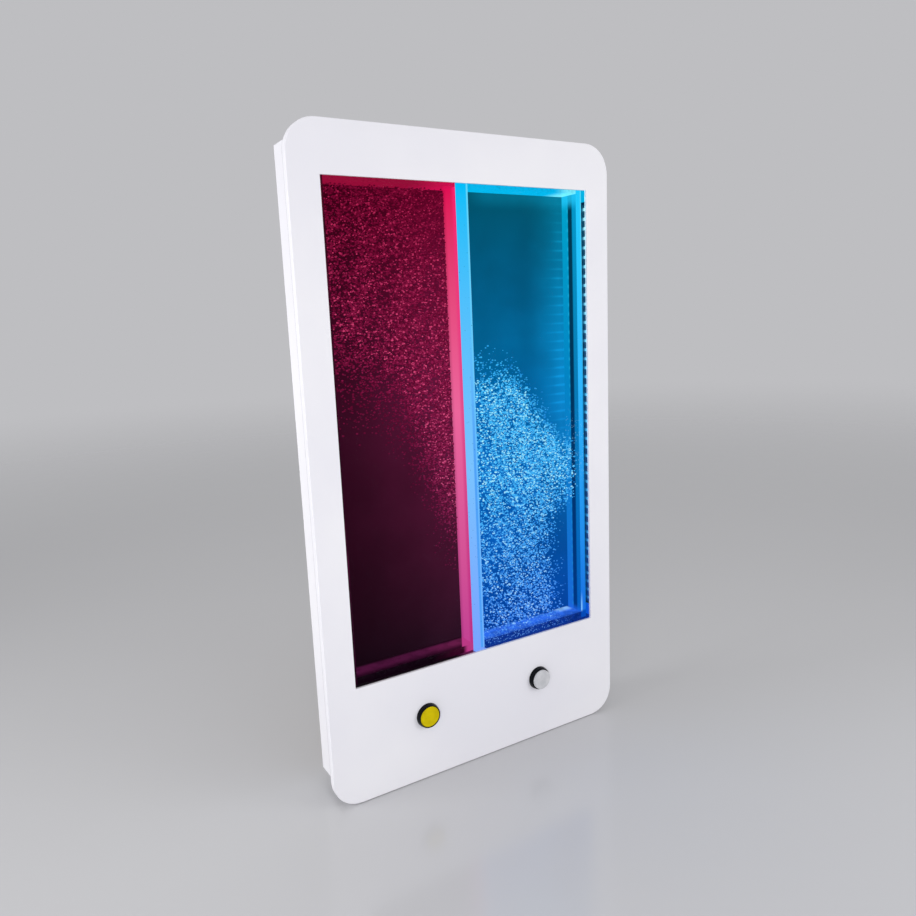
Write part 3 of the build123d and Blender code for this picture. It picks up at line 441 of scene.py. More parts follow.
# Clear acrylic: nearly see-through from the front, glossier at a slant, with faint smears
def makeClear():
    look = {"tint": (0.02, 0.025, 0.03, 1), "smearAlpha": 0.006, "slantAlpha": 0.5}
    material, tree, shader = newMaterial("clearAcrylic", Base_Color=look["tint"])
    point = placeOf(tree)[0]
    smear = noiseAt(tree, point, 9.0, 6.0, Distortion=0.8)
    faint = stretch(tree, smear, 0.55, 0.8, 0.0, look["smearAlpha"])
    facing = addNode(tree, "ShaderNodeLayerWeight", {"Blend": 0.5}).outputs["Facing"]
    slant = stretch(tree, facing, 0.5, 1.0, 0.0, look["slantAlpha"])
    feed(tree, shader, Roughness=stretch(tree, smear, 0.4, 0.7, 0.02, 0.12),
         Alpha=calculate(tree, "ADD", faint, slant))
    material.surface_render_method = "BLENDED"
    return material


# Lit acrylic and water: each paint function gives the colour that a place glows with
def makeLit(name, paint, **plain):
    settings = {"Base_Color": (0.001, 0.001, 0.0015, 1), "Emission_Strength": 1.0,
                "Specular_IOR_Level": 0.04, **plain}
    material, tree, shader = newMaterial(name, **settings)
    point, x, y, z = placeOf(tree)
    smear = noiseAt(tree, point, 22.0, 3.0)
    feed(tree, shader, Roughness=stretch(tree, smear, 0.3, 0.7, 0.2, 0.35),
         Emission_Color=paint(tree, point, x, y, z))
    return material


def heightColours(tree, z, low, middle, high, middleZ):
    return useGroup(tree, heightBlend, Z=z, Low=low, Middle=middle, High=high, LowZ=chamber["lowZ"],
                    MiddleZ=middleZ, HighZ=chamber["highZ"])["Colour"]


def ledSpots(tree, z, power):
    return useGroup(tree, pitchSpots, Z=z, FirstZ=chamber["ledFirstZ"], Pitch=chamber["ledPitch"],
                    Power=power)["Mask"]


# 0 at the chambers' back, 1 at their front
def depthShare(tree, y):
    return stretch(tree, y, chamber["backY"], chamber["frontY"], smooth=False)


# The bubbles of each side: how many, how large, where their cloud ends, and the colours of light they glow with from
# low to high
pinkCloud = {
    "seed": 11, "groups": (("near", 8200, 0.8), ("far", 9600, 1.5)), "radius": (0.0009, 0.0022), "clump": 0.45,
    "edgeX": (-0.240, -0.180, -0.125, -0.105, -0.085, -0.060, -0.030, -0.012),
    "edgeZ": (-0.200, -0.225, -0.265, -0.310, -0.370, -0.450, -0.530, -0.560),
    "fade": 0.13, "lowZ": -0.58, "topZ": 0.064, "faintest": 0.25, "clearSlope": 0.59,
    "dimZ": (-0.56, -0.4, -0.02, 0.03, 0.07), "dimTo": (1.05, 1.0, 0.96, 0.88, 0.8), "middleZ": -0.26,
    "bright": ((204, 100, 150), (230, 82, 132), (196, 38, 88)),
    "fair": ((130, 42, 90), (144, 28, 76), (125, 10, 51)),
    "dim": ((74, 15, 48), (86, 7, 40), (84, 1, 30)),
}
bluePlume = {
    "seed": 23, "groups": (("near", 6900, 0.3), ("far", 5400, 1.3)), "radius": (0.0008, 0.0022), "clump": 0.3,
    "rightZ": (-0.720, -0.690, -0.620, -0.560, -0.510, -0.470, -0.420, -0.380, -0.340, -0.300, -0.260, -0.195),
    "rightX": (0.190, 0.192, 0.180, 0.174, 0.196, 0.258, 0.262, 0.224, 0.172, 0.146, 0.124, 0.080),
    "coreX": (0.01, 0.05, 0.1, 0.17, 0.24), "coreAcross": (0.5, 0.7, 1.0, 1.0, 0.8),
    "coreZ": (-0.72, -0.6, -0.5, -0.4, -0.27, -0.2), "coreUp": (0.42, 0.56, 0.62, 0.95, 0.95, 0.7),
    "fade": 0.032, "topZ": -0.18, "full": -0.30, "highest": -0.19, "faintest": 0.5, "clearSlope": 0.0,
    "dimZ": (-0.72, -0.5, -0.44, -0.28), "dimTo": (0.9, 0.9, 1.0, 1.0), "middleZ": -0.45,
    "bright": ((178, 222, 255), (178, 244, 255), (164, 250, 255)),
    "fair": ((84, 156, 255), (68, 188, 255), (50, 196, 255)),
    "dim": ((5, 84, 200), (4, 108, 200), (1, 114, 180)),
}

# What each lit face glows with, 0 to 255 a channel: one colour, or those at its foot, its middle and its top with
# the height of its middle
pinkPaint = {
    "side": ((194, 66, 146), (236, 102, 156), (224, 16, 84), -0.3),
    "rim": ((186, 46, 132), (224, 78, 140), (248, 30, 108), -0.3),
    "back": ((24, 7, 18), (60, 12, 36), (60, 1, 21), -0.28), "ceilingFar": (146, 14, 54),
    "ceilingNear": (205, 14, 78),
    "floor": (74, 20, 56), "floorFront": (15, 2, 12), "floorNear": (100, 28, 70), "frontNear": (58, 6, 36),
    "mirrored": (190, 58, 134),
    "wallBack": ((90, 20, 70), (150, 30, 84), (150, 20, 64), -0.26),
    "wallBand": ((22, 2, 16), (34, 2, 20), (40, 2, 20), -0.26),
    "wallEdge": ((96, 24, 76), (150, 40, 96), (170, 24, 70), -0.26),
    "wallFront": ((30, 3, 20), (44, 3, 24), (52, 2, 22), -0.26),
    "wallDots": (255, 190, 220), "light": ((215, 90, 170), (255, 120, 180), (255, 140, 180), -0.3),
    "lightBar": ((110, 16, 70), (170, 20, 80), (190, 20, 76), -0.3),
    "tape": ((40, 4, 28), (70, 6, 34), (90, 6, 30), -0.3),
    "channel": (32, 3, 18), "channelBar": (96, 12, 50),
    "cut": ((60, 10, 40), (190, 60, 110), (255, 150, 190), -0.35),
    "board": ((70, 12, 52), (84, 8, 40), (170, 18, 70), -0.3),
}
bluePaint = {
    "side": ((120, 162, 255), (122, 194, 254), (0, 190, 250), -0.4),
    "sideBright": ((110, 178, 255), (104, 188, 255), (96, 214, 250), -0.4), "sideBand": (72, 158, 246),
    "back": ((3, 64, 158), (1, 98, 148), (0, 78, 101), -0.19),
    "backLit": ((20, 104, 205), (12, 150, 215), (10, 150, 188), -0.19),
    "backPlume": ((14, 96, 214), (8, 112, 214), (2, 124, 196), -0.42),
    "ceilingFar": (4, 182, 236), "ceilingNear": (118, 236, 255), "floor": (44, 106, 235), "floorFront": (6, 49, 143),
    "floorSpots": (110, 175, 255), "floorPatch": (140, 194, 255), "floorSparks": (104, 166, 255),
    "wallBack": ((24, 104, 214), (3, 132, 195), (0, 162, 203), -0.26),
    "wallBand": ((0, 54, 130), (0, 50, 86), (0, 56, 78), -0.26),
    "wallEdge": ((4, 92, 190), (8, 124, 182), (4, 152, 202), -0.26),
    "wallLine": ((24, 112, 205), (20, 140, 210), (100, 224, 255), -0.32),
    "wallFront": ((24, 112, 228), (48, 184, 255), (34, 204, 255), -0.26), "wallDots": (40, 196, 240),
    "wallSparks": (150, 222, 255), "wallFoot": (124, 192, 255), "wallUnder": (30, 100, 226), "wallToe": (4, 74, 182),
    "light": ((54, 122, 190), (80, 190, 236), (170, 244, 255), -0.3),
    "lightBar": ((6, 76, 150), (14, 116, 174), (36, 132, 160), -0.3),
    "tape": ((0, 54, 126), (0, 64, 108), (0, 68, 90), -0.3),
    "channel": (0, 38, 66), "channelBar": (4, 76, 112),
    "cut": ((10, 50, 120), (60, 160, 220), (170, 246, 255), -0.35),
    "board": ((8, 84, 208), (4, 80, 130), (0, 176, 224), -0.3),
}
paintOf = {-1: pinkPaint, 1: bluePaint}


# The dark sheet behind the water, with the light of the strips painted on it: plum to black on one side, teal to
# deep blue on the other, and a painted glow behind the blue bubbles
def paintBacking(tree, point, x, y, z):
    look = {"farEdge": 0.82, "nearEdge": 1.9, "nearer": 1.25, "wallReach": 0.085, "wallFade": 1.65,
            "topReach": 0.028, "topGlow": 0.3, "rowSharpness": 9.0, "rowFade": 5.5, "streak": 0.95, "ripple": 0.1,
            "plumeGlow": 0.5, "plumeTipZ": -0.42, "plumeSlant": 0.6}
    innerX, outerX = chamber["innerX"], chamber["outerX"]
    # Painted light: brighter near the divider, near the outer wall and under the top, with rows of light at the
    # lights' pitch
    nearDivider = times(tree, stretch(tree, x, -outerX, -innerX, look["farEdge"], look["nearEdge"]),
                        stretch(tree, x, -0.1, -0.02, 1.0, look["nearer"]))
    pink = shaded(tree, heightColours(tree, z, *pinkPaint["back"]), nearDivider)
    noise = noiseAt(tree, point, 11.0, 4.0)
    nearWall = stretch(tree, x, outerX - look["wallReach"], outerX, smooth=False)
    glow = times(tree, calculate(tree, "POWER", nearWall, look["wallFade"]),
                 stretch(tree, z, -0.62, -0.3, 0.12, 0.66), stretch(tree, z, 0.05, -0.18, 0.5, 1.0))
    underTop = times(tree, stretch(tree, z, topLow.z - look["topReach"], topLow.z, 0.0, look["topGlow"]),
                     stretch(tree, x, 0.01, 0.1))
    rows = times(tree, ledSpots(tree, z, look["rowSharpness"]), calculate(tree, "POWER", nearWall, look["rowFade"]),
                 stretch(tree, z, -0.4, -0.3), stretch(tree, z, 0.05, -0.12, 0.1, 1.0),
                 stretch(tree, noise, 0.35, 0.6, 0.4, 1.0), look["streak"])
    lit = calculate(tree, "ADD", calculate(tree, "ADD", glow, underTop), rows, clamp=True)
    blue = blendColours(tree, lit, *(heightColours(tree, z, *bluePaint[key]) for key in ("back", "backLit")))
    # Painted glow behind the blue bubbles
    slant = calculate(tree, "ADD", x, times(tree, gapTo(tree, z, look["plumeTipZ"]), look["plumeSlant"]))
    plume = times(tree, stretch(tree, z, -0.22, -0.3), stretch(tree, z, -0.74, -0.46, 0.35, 1.0),
                  stretch(tree, slant, 0.25, 0.16),
                  stretch(tree, noiseAt(tree, point, 16.0, 3.0), 0.3, 0.7, 0.45, 1.0))
    plume = times(tree, plume, look["plumeGlow"])
    blue = blendColours(tree, plume, blue, heightColours(tree, z, *bluePaint["backPlume"]))
    both = blendColours(tree, onRight(tree, x), pink, blue)
    both = blendColours(tree, isOver(tree, y, sheetHigh.y - chamber["hair"]), both, black)
    return shaded(tree, both, stretch(tree, noise, 0.3, 0.7, 1 - look["ripple"], 1 + look["ripple"]))


# Tiny dark specks on a lit face: painted shadows of bubbles
def withBubbleShadows(tree, point, colour, share, scale=330.0, size=0.3, amount=0.45):
    return blendColours(tree, times(tree, specksAt(tree, point, scale, share, size), amount), colour, black)


# The divider: its left face glows pink, and its front and right faces glow blue
def paintDivider(tree, point, x, y, z):
    look = {"rimFrom": (0.62, 0.9), "backDim": 0.74, "bandX": (0.0032, 0.0052), "edgeFrom": (0.0038, 0.0026),
            "footHeight": 0.15, "footStreaks": 0.5}
    share = depthShare(tree, y)
    pink = blendColours(tree, stretch(tree, share, *look["rimFrom"]),
                        *(heightColours(tree, z, *pinkPaint[key]) for key in ("side", "rim")))
    pink = shaded(tree, pink, stretch(tree, share, 0.0, 0.3, look["backDim"], 1.0))
    blue = heightColours(tree, z, *bluePaint["side"])
    bright = heightColours(tree, z, *bluePaint["sideBright"])
    band = times(tree, stretch(tree, x, *look["bandX"]), stretch(tree, z, -0.14, -0.42, 0.0, 0.9))
    blue = blendColours(tree, band, blue, bluePaint["sideBand"])
    # Painted highlight along the right edge, and bright streaks of painted light near the foot
    line = linesAt(tree, point, (1.0, 1.0, 0.02), 420.0)
    low = stretch(tree, z, chamber["lowZ"] + look["footHeight"], chamber["lowZ"], 0.0, look["footStreaks"])
    streaks = times(tree, stretch(tree, line, 0.45, 0.7), low)
    edge = stretch(tree, x, *(dividerHigh.x - width for width in look["edgeFrom"]))
    blue = blendColours(tree, calculate(tree, "MAXIMUM", streaks, edge), blue, bright)
    left = isUnder(tree, x, dividerLow.x + chamber["hair"])
    # The dark specks on the divider are painted shadows of bubbles
    return withBubbleShadows(tree, point, blendColours(tree, left, blue, pink), 0.07, scale=300.0, size=0.34, amount=0.75)


# The outer walls glow with painted light: their inner face shows bands from the back to the front and a row of
# light spots, their front face a bright line; the blue wall also has painted reflections of bubbles and glints
def paintWall(side):
    colours = paintOf[side]
    look = {"dotsAt": 0.385, "dotsHalf": 0.085, "dotsLow": 0.14, "dotsHigh": 0.4, "bandFrom": (0.39, 0.46),
            "edgeFrom": (0.66, 0.76), "rimFrom": (0.74, 0.86), "endsGlow": 0.7, "rimGlow": 0.8, "linesGlow": 0.3,
            "sparksGlow": 0.9, "underGlow": 0.7}

    def paint(tree, point, x, y, z):
        share = depthShare(tree, y)
        lowZ, highZ = chamber["lowZ"], chamber["highZ"]
        back, band, edge, front = [heightColours(tree, z, *colours[f"wall{place}"])
                                   for place in ("Back", "Band", "Edge", "Front")]
        line = heightColours(tree, z, *colours["wallLine"]) if side > 0 else edge
        inner = blendColours(tree, stretch(tree, share, *look["bandFrom"]), back, band)
        inner = blendColours(tree, stretch(tree, share, *look["edgeFrom"]), inner, edge)
        dots = times(tree, stretch(tree, gapTo(tree, share, look["dotsAt"]), look["dotsHalf"], 0.0),
                     ledSpots(tree, z, 2.2), stretch(tree, z, -0.45, -0.1, look["dotsLow"], look["dotsHigh"]))
        inner = blendColours(tree, dots, inner, colours["wallDots"])
        ends = times(tree, stretch(tree, z, highZ - 0.028, highZ - 0.006), look["endsGlow"])
        inner = blendColours(tree, ends, inner, front)
        across = stretch(tree, sizeOf(tree, x), chamber["outerX"], wallHigh.x, smooth=False)
        rim = times(tree, stretch(tree, across, *look["rimFrom"]), look["rimGlow"])
        drawn = stretch(tree, linesAt(tree, point, (1.0, 1.0, 0.03), 520.0), 0.5, 0.75)
        drawn = times(tree, drawn, look["linesGlow"])
        face = blendColours(tree, drawn, blendColours(tree, rim, front, line), edge)
        onFront = isUnder(tree, y, chamber["frontY"] + chamber["hair"])
        both = blendColours(tree, onFront, inner, face)
        if side > 0:
            # Painted reflections of bubbles on the blue wall, and painted glints at its foot
            sparks = times(tree, specksAt(tree, point, 300.0, 0.5, 0.36),
                           stretch(tree, z, -0.47, -0.42), stretch(tree, z, -0.31, -0.37), look["sparksGlow"])
            foot = times(tree, stretch(tree, z, lowZ + 0.045, lowZ + 0.01), stretch(tree, across, 0.45, 0.1), onFront)
            under = times(tree, stretch(tree, z, lowZ + 0.012, lowZ), opposite(tree, onFront), look["underGlow"])
            toe = times(tree, stretch(tree, z, lowZ + 0.005, lowZ - 0.001), onFront)
            for mask, place in ((sparks, "Sparks"), (foot, "Foot"), (under, "Under"), (toe, "Toe")):
                both = blendColours(tree, mask, both, colours[f"wall{place}"])
        outside = isOver(tree, sizeOf(tree, x), wallHigh.x - chamber["hair"])
        glow = blendColours(tree, ledSpots(tree, z, 2.0), band, front)
        # The dark specks on the walls are painted shadows of bubbles
        return withBubbleShadows(tree, point, blendColours(tree, outside, both, glow), 0.1)
    return paint


# The ceilings glow towards the lights, and the floors are dimmer, with a dark front edge
def paintCeiling(side):
    colours = paintOf[side]
    roughness = 0.25 if side > 0 else 0.3

    def paint(tree, point, x, y, z):
        if side > 0:
            reach = stretch(tree, x, chamber["outerX"] - 0.05, chamber["outerX"] - 0.012)
        else:
            reach = stretch(tree, x, -0.1, -chamber["innerX"])
        base = blendColours(tree, reach, colours["ceilingFar"], colours["ceilingNear"])
        # The painted glow is uneven: noise blends it towards the dark back colour
        unevenGlow = times(tree, stretch(tree, noiseAt(tree, point, 240.0, 3.0), 0.5, 0.75), roughness)
        return blendColours(tree, unevenGlow, base, colours["back"][2])
    return paint


def paintFloor(side):
    colours = paintOf[side]
    look = {"uneven": 0.3, "patchGlow": 0.85, "mirrorGlow": 0.92, "mirrorBlur": 0.0012}

    def paint(tree, point, x, y, z):
        share = depthShare(tree, y)
        front = colours["floorFront"]
        onFront = isUnder(tree, y, chamber["frontY"] + chamber["hair"])
        uneven = times(tree, stretch(tree, noiseAt(tree, point, 60.0, 4.0), 0.45, 0.7), look["uneven"])
        top = blendColours(tree, stretch(tree, share, 0.0, 0.25), colours["back"][0], colours["floor"])
        if side > 0:
            top = blendColours(tree, stretch(tree, share, 0.6, 1.0, 0.0, 0.55), top, front)
            # Painted light: bright spots near the wall, a bright patch in the corner, and glints of bubbles near the
            # front
            spots = times(tree, specksAt(tree, point, 150.0, 0.35, 0.45),
                          stretch(tree, x, chamber["outerX"] - 0.07, chamber["outerX"], 0.15, 0.7))
            top = blendColours(tree, spots, top, colours["floorSpots"])
            patch = times(tree, stretch(tree, share, 0.55, 0.15), stretch(tree, x, 0.196, 0.214),
                          stretch(tree, x, 0.24, 0.232), look["patchGlow"])
            top = blendColours(tree, patch, top, colours["floorPatch"])
            both = blendColours(tree, uneven, blendColours(tree, onFront, top, front), black)
            sparks = times(tree, specksAt(tree, point, 300.0, 0.8, 0.55),
                           stretch(tree, x, 0.222, 0.17, 0.08, 0.9))
            return blendColours(tree, sparks, both, colours["floorSparks"])
        # Painted light: a pink glow near the divider, and a painted reflection of the divider's face
        near = times(tree, stretch(tree, x, -0.12, -0.03), stretch(tree, share, 0.1, 0.3))
        top = blendColours(tree, near, top, colours["floorNear"])
        top = blendColours(tree, stretch(tree, share, 0.5, 1.0, 0.0, 0.8), top, front)
        front = blendColours(tree, stretch(tree, x, -0.1, -0.036, 0.0, 0.85), front, colours["frontNear"])
        both = blendColours(tree, uneven, blendColours(tree, onFront, top, front), black)
        wedge = calculate(tree, "MULTIPLY_ADD", calculate(tree, "SUBTRACT", chamber["backY"], y),
                          pinkCloud["clearSlope"], calculate(tree, "ADD", x, chamber["innerX"]))
        mirror = times(tree, stretch(tree, wedge, -look["mirrorBlur"], look["mirrorBlur"]), opposite(
            tree, times(tree, onFront, stretch(tree, x, -0.022, -0.034))), look["mirrorGlow"])
        return blendColours(tree, mirror, both, colours["mirrored"])
    return paint


# Light strips: the lights' faces glow, and the tape and its channel catch a bar of light at each of them
def paintStrip(side):
    colours = paintOf[side]
    look = {"chipDepth": 0.00065, "frontFrom": (0.0052, 0.0036), "backDim": 0.12}

    def paint(tree, point, x, y, z):
        lit, bar, tape = [heightColours(tree, z, *colours[place]) for place in ("light", "lightBar", "tape")]
        face = isUnder(tree, sizeOf(tree, x), stripHigh.x - look["chipDepth"])
        if side > 0:
            face = times(tree, face, stretch(tree, y, *(stripLow.y + depth for depth in look["frontFrom"]),
                                             look["backDim"], 1.0))
        return blendColours(tree, face, blendColours(tree, ledSpots(tree, z, 5.0), tape, bar), lit)
    return paint


# The channels that carry the strips: dark metal that catches a little of the light
def paintChannels(tree, point, x, y, z):
    near = ledSpots(tree, z, 3.0)
    pink, blue = [blendColours(tree, near, colours["channel"], colours["channelBar"])
                  for colours in (pinkPaint, bluePaint)]
    return blendColours(tree, onRight(tree, x), pink, blue)


# One node that has a solid on each side takes the paint of the side that it is on
def paintBothSides(left, right):
    def paint(tree, point, x, y, z):
        return blendColours(tree, onRight(tree, x), left(tree, point, x, y, z), right(tree, point, x, y, z))
    return paint


# Rubber pads: black, with the spilled light on their front
def paintPads(tree, point, x, y, z):
    return blendColours(tree, isUnder(tree, y, padLow.y + 0.001), black, spilledLight(tree, x))


# The fill plugs glow as the ceilings do on their wet face, and are dark above it
def paintPlugs(tree, point, x, y, z):
    lit = paintBothSides(paintCeiling(-1), paintCeiling(1))(tree, point, x, y, z)
    return blendColours(tree, isOver(tree, z, chamber["highZ"] + 0.002), lit, black)


# Button lenses: coloured plastic with a soft grain and a faintly uneven colour
def makeLens(name, colour, deep, roughness):
    material, tree, shader = newMaterial(name, Specular_IOR_Level=0.1)
    point = placeOf(tree)[0]
    grain = useGroup(tree, fineGrain, Point=point, Scale=1400.0, Base=roughness, Spread=0.1)
    cloud = stretch(tree, noiseAt(tree, point, 60.0, 2.0), 0.3, 0.7)
    feed(tree, shader, Base_Color=blendColours(tree, cloud, deep, colour), Roughness=grain["Roughness"])
    bumpFrom(tree, shader, grain["Height"], 0.00004, 0.4)
    return material


bySlot = {
    "white_board": makeLacquer("whiteLacquer"),
    "raw_board": makeWood("rawBoard", (176, 142, 102), (142, 108, 72), (1, 1, 1), 380.0),
    "beech": makeWood("beech", (206, 168, 118), (176, 132, 84), (1, 1, 0.05), 300.0),
    "clear_acrylic": makeClear(),
    "black_plastic": makeMoulded("blackPlastic", (7, 9, 15), 0.2, scale=1500.0, depth=0.00002, dust=0.004,
                                 Specular_IOR_Level=0.1),
    "grey_plastic": makeMoulded("greyPlastic", (108, 110, 114), 0.45),
    "rubber": makeMoulded("blackRubber", (26, 26, 27), 0.8, scale=500.0, depth=0.0001, dust=0.12),
    "hose": makeMoulded("siliconeHose", (214, 222, 222), 0.35, scale=300.0, depth=0.00003, dust=0.05,
                        Subsurface_Weight=0.4),
    "lamp": makeMoulded("lampBody", (240, 236, 220), 0.3, scale=600.0, depth=0.00002, dust=0.0),
    "foam": makeFoam(),
    "circuit": makeCircuit(),
    "steel": makeMetal("zincSteel", (196, 197, 202), 0.32, (1, 1, 0.2)),
    "aluminium": makeMetal("railAluminium", (206, 208, 212), 0.34, (0.02, 1, 1)),
    "black_aluminium": makeMetal("blackAluminium", (34, 34, 38), 0.4, (1, 1, 0.02)),
    "yellow_lens": makeLens("yellowLens", (212, 192, 0), (196, 176, 0), 0.3),
    "white_lens": makeLens("whiteLens", (208, 208, 212), (190, 191, 196), 0.35),
    "black_sheet": makeLit("litBacking", paintBacking, Specular_IOR_Level=0.0),
}
byNode = {
    "fascia": makeLacquer("fasciaLacquer", fascia=True),
    "side_board_left": makeLacquer("leftBoardLacquer", side=-1),
    "side_board_right": makeLacquer("rightBoardLacquer", side=1),
    "tank_shelf": makeWood("shadedShelfBoard", (176, 142, 102), (142, 108, 72), (1, 1, 1), 380.0,
                           shadeUnderTank=True),
    "tank_pads": makeLit("litPads", paintPads, Base_Color=(26, 26, 27)),
    "tank_divider": makeLit("litDivider", paintDivider),
    "led_strip_left": makeLit("pinkLights", paintStrip(-1), Base_Color=(0.03, 0.02, 0.02, 1)),
    "led_strip_right": makeLit("blueLights", paintStrip(1), Base_Color=(0.02, 0.02, 0.03, 1)),
    "led_channels": makeLit("litChannels", paintChannels, Base_Color=(0.01, 0.01, 0.012, 1)),
    "fill_plugs": makeLit("litPlugs", paintPlugs, Base_Color=(0.02, 0.02, 0.024, 1)),
}
for side, place, hue in ((-1, "left", "Pink"), (1, "right", "Blue")):
    byNode[f"tank_wall_{place}"] = makeLit(f"litWall{hue}", paintWall(side))
    byNode[f"tank_top_{place}"] = makeLit(f"litCeiling{hue}", paintCeiling(side))
    byNode[f"tank_bottom_{place}"] = makeLit(f"litFloor{hue}", paintFloor(side))
for name, node in frame["nodes"].items():
    node.data.materials.clear()
    node.data.materials.append(byNode.get(name) or bySlot[slotOf[name]])
print("materials placed:", len(bpy.data.materials))

# Springs: a copy of each stands for it, and the part itself is hidden. The white button only goes in from rest, and
# its spring's copy is joined to the root body with a mesh of its own; the yellow one goes both ways, and its
# spring's copy has its place baked into its mesh
for colour in ("yellow", "white"):
    name = f"{colour}_button_spring"
    coil = bpy.data.objects.new(f"{colour}_spring_coil", frame["nodes"][name].data.copy())
    bpy.context.scene.collection.objects.link(coil)
    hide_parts(name)
    if colour == "white":
        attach(coil, "root")
        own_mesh(coil)
    else:
        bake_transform(coil)


# Bubbles: an icosahedron for each. Its twelve corners are the turns of (0, one, golden ratio), and a face
# joins three corners that are two apart
def icosahedron():
    golden = (1 + 5 ** 0.5) / 2
    corners = np.array([p for a in (-1, 1) for b in (-golden, golden)
                        for p in ((0, a, b), (a, b, 0), (b, 0, a))], float)
    near = np.abs(np.linalg.norm(corners[:, None] - corners[None], axis=2) - 2) < 0.01
    faces = [(i, j, k) for i in range(12) for j in range(i + 1, 12) for k in range(j + 1, 12)
             if near[i, j] and near[j, k] and near[i, k]]
    outward = [f if np.linalg.det(corners[list(f)]) > 0 else f[::-1] for f in faces]
    return corners / np.linalg.norm(corners[0]), np.array(outward)


bubble = {"shape": (1.15, 1.0, 0.85), "tries": 9, "room": 1.3, "sizeDraw": (1.8, 2.6)}


# Corner = centre + radius times the unit corner, wider than high; glow is kept for each bubble's corners
def makeBubbles(name, centres, radii, glow, material):
    corners, faces = icosahedron()
    points = centres[:, None, :] + radii[:, None, None] * corners[None] * np.array(bubble["shape"])
    order = faces[None] + len(corners) * np.arange(len(centres))[:, None, None]
    mesh = bpy.data.meshes.new(name)
    mesh.from_pydata(points.reshape(-1, 3), [], order.reshape(-1, 3))
    ofCorners = np.repeat(glow, len(corners)).astype(np.float32)
    mesh.attributes.new("glow", "FLOAT", "POINT").data.foreach_set("value", ofCorners)
    mesh.polygons.foreach_set("use_smooth", np.ones(len(mesh.polygons), bool))
    mesh.materials.append(material)
    piece = bpy.data.objects.new(name, mesh)
    bpy.context.scene.collection.objects.link(piece)
    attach(piece, "root")


# A sum of sine waves in random directions, steeper in Z so that its clumps lie flat; about 0 to 1
def waveNoise(x, z, seed, count=7, lowest=18.0, highest=90.0, flat=1.7):
    draw = np.random.default_rng(seed)
    size = draw.uniform(lowest, highest, count)
    turn = draw.uniform(0, math.tau, count)
    phase = draw.uniform(0, math.tau, count)
    waves = np.sin((x[:, None] * np.cos(turn) + flat * z[:, None] * np.sin(turn)) * size * math.tau / 2 + phase)
    return 0.5 + 0.5 * waves.sum(1) / count ** 0.5 / 1.5


def ramp(value, low, high):
    share = np.clip((value - low) / (high - low), 0, 1)
    return share * share * (3 - 2 * share)


# How full of bubbles a place is: 0 outside the cloud's edge, 1 well inside it
def pinkReach(x, z):
    edge = np.interp(x, pinkCloud["edgeX"], pinkCloud["edgeZ"])
    return ramp(z, edge - pinkCloud["fade"], edge + pinkCloud["fade"])


def blueReach(x, z):
    right = np.interp(z, bluePlume["rightZ"], bluePlume["rightX"])
    return ramp(right - x, -bluePlume["fade"], bluePlume["fade"]) * ramp(-z, -bluePlume["topZ"], -bluePlume["full"])


def pinkDensity(x, z):
    clumps = 0.3 + 0.7 * ramp(waveNoise(x, z, 5, count=9, lowest=20.0, highest=110.0, flat=3.0), 0.3, 0.65)
    return pinkReach(x, z) * clumps * (0.6 + 0.4 * ramp(z, -0.55, -0.4)) * (0.7 + 0.3 * ramp(x, -0.2, -0.08))


def blueDensity(x, z):
    core = np.interp(x, bluePlume["coreX"], bluePlume["coreAcross"]) * np.interp(
        z, bluePlume["coreZ"], bluePlume["coreUp"])
    return blueReach(x, z) * core * (0.2 + 0.8 * ramp(waveNoise(x, z, 9), 0.3, 0.7))


# Random places in a chamber, kept with a chance that is the density there, and clear of a plane that leans
# away from the divider
def scatter(count, draw, side, lowZ, highZ, density, margin, clearSlope):
    tries = bubble["tries"] * count
    x = draw.uniform(chamber["innerX"] + margin, chamber["outerX"] - margin, tries) * side
    y = draw.uniform(chamber["frontY"] + margin, chamber["backY"] - margin, tries)
    z = draw.uniform(lowZ, highZ, tries)
    clear = x * side - chamber["innerX"] > clearSlope * (chamber["backY"] - y)
    kept = np.flatnonzero((draw.uniform(0, 1, tries) < density(x, z)) & clear)[:count]
    return np.stack([x, y, z], 1)[kept]


def makeCloud(label, plan, side, lowZ, highZ, density, reach, material):
    draw = np.random.default_rng(plan["seed"])
    small, large = plan["radius"]
    for part, count, dimming in plan["groups"]:
        centres = scatter(count, draw, side, lowZ, highZ, density, large * bubble["room"], plan["clearSlope"])
        radii = small + (large - small) * draw.beta(*bubble["sizeDraw"], len(centres))
        x, z = centres[:, 0], centres[:, 2]
        glow = draw.uniform(0, 1, len(centres)) ** dimming
        glow *= plan["faintest"] + (1 - plan["faintest"]) * ramp(reach(x, z), 0.1, 0.9)
        glow *= np.interp(z, plan["dimZ"], plan["dimTo"])
        clumps = waveNoise(x, z, plan["seed"] + 1, count=14, lowest=90.0, highest=260.0)
        glow *= 1 - plan["clump"] * ramp(clumps, 0.62, 0.36)
        makeBubbles(f"{label}_{part}", centres, radii, glow, material)
        print(label, part, "bubbles:", len(centres))


def paintBubbles(plan):
    def paint(tree, point, x, y, z):
        glow = addNode(tree, "ShaderNodeAttribute", attribute_name="glow").outputs["Fac"]
        dim, fair, bright = [heightColours(tree, z, *plan[shade], plan["middleZ"])
                             for shade in ("dim", "fair", "bright")]
        lower = blendColours(tree, stretch(tree, glow, 0.0, 0.62, smooth=False), dim, fair)
        return blendColours(tree, stretch(tree, glow, 0.62, 1.0, smooth=False), lower, bright)
    return paint


makeCloud("pink_bubbles", pinkCloud, -1, pinkCloud["lowZ"], pinkCloud["topZ"], pinkDensity, pinkReach,
          makeLit("pinkBubbles", paintBubbles(pinkCloud), IOR=1.0))
makeCloud("blue_bubbles", bluePlume, 1, chamber["lowZ"] + 0.003, bluePlume["highest"], blueDensity, blueReach,
          makeLit("blueBubbles", paintBubbles(bluePlume), IOR=1.0))


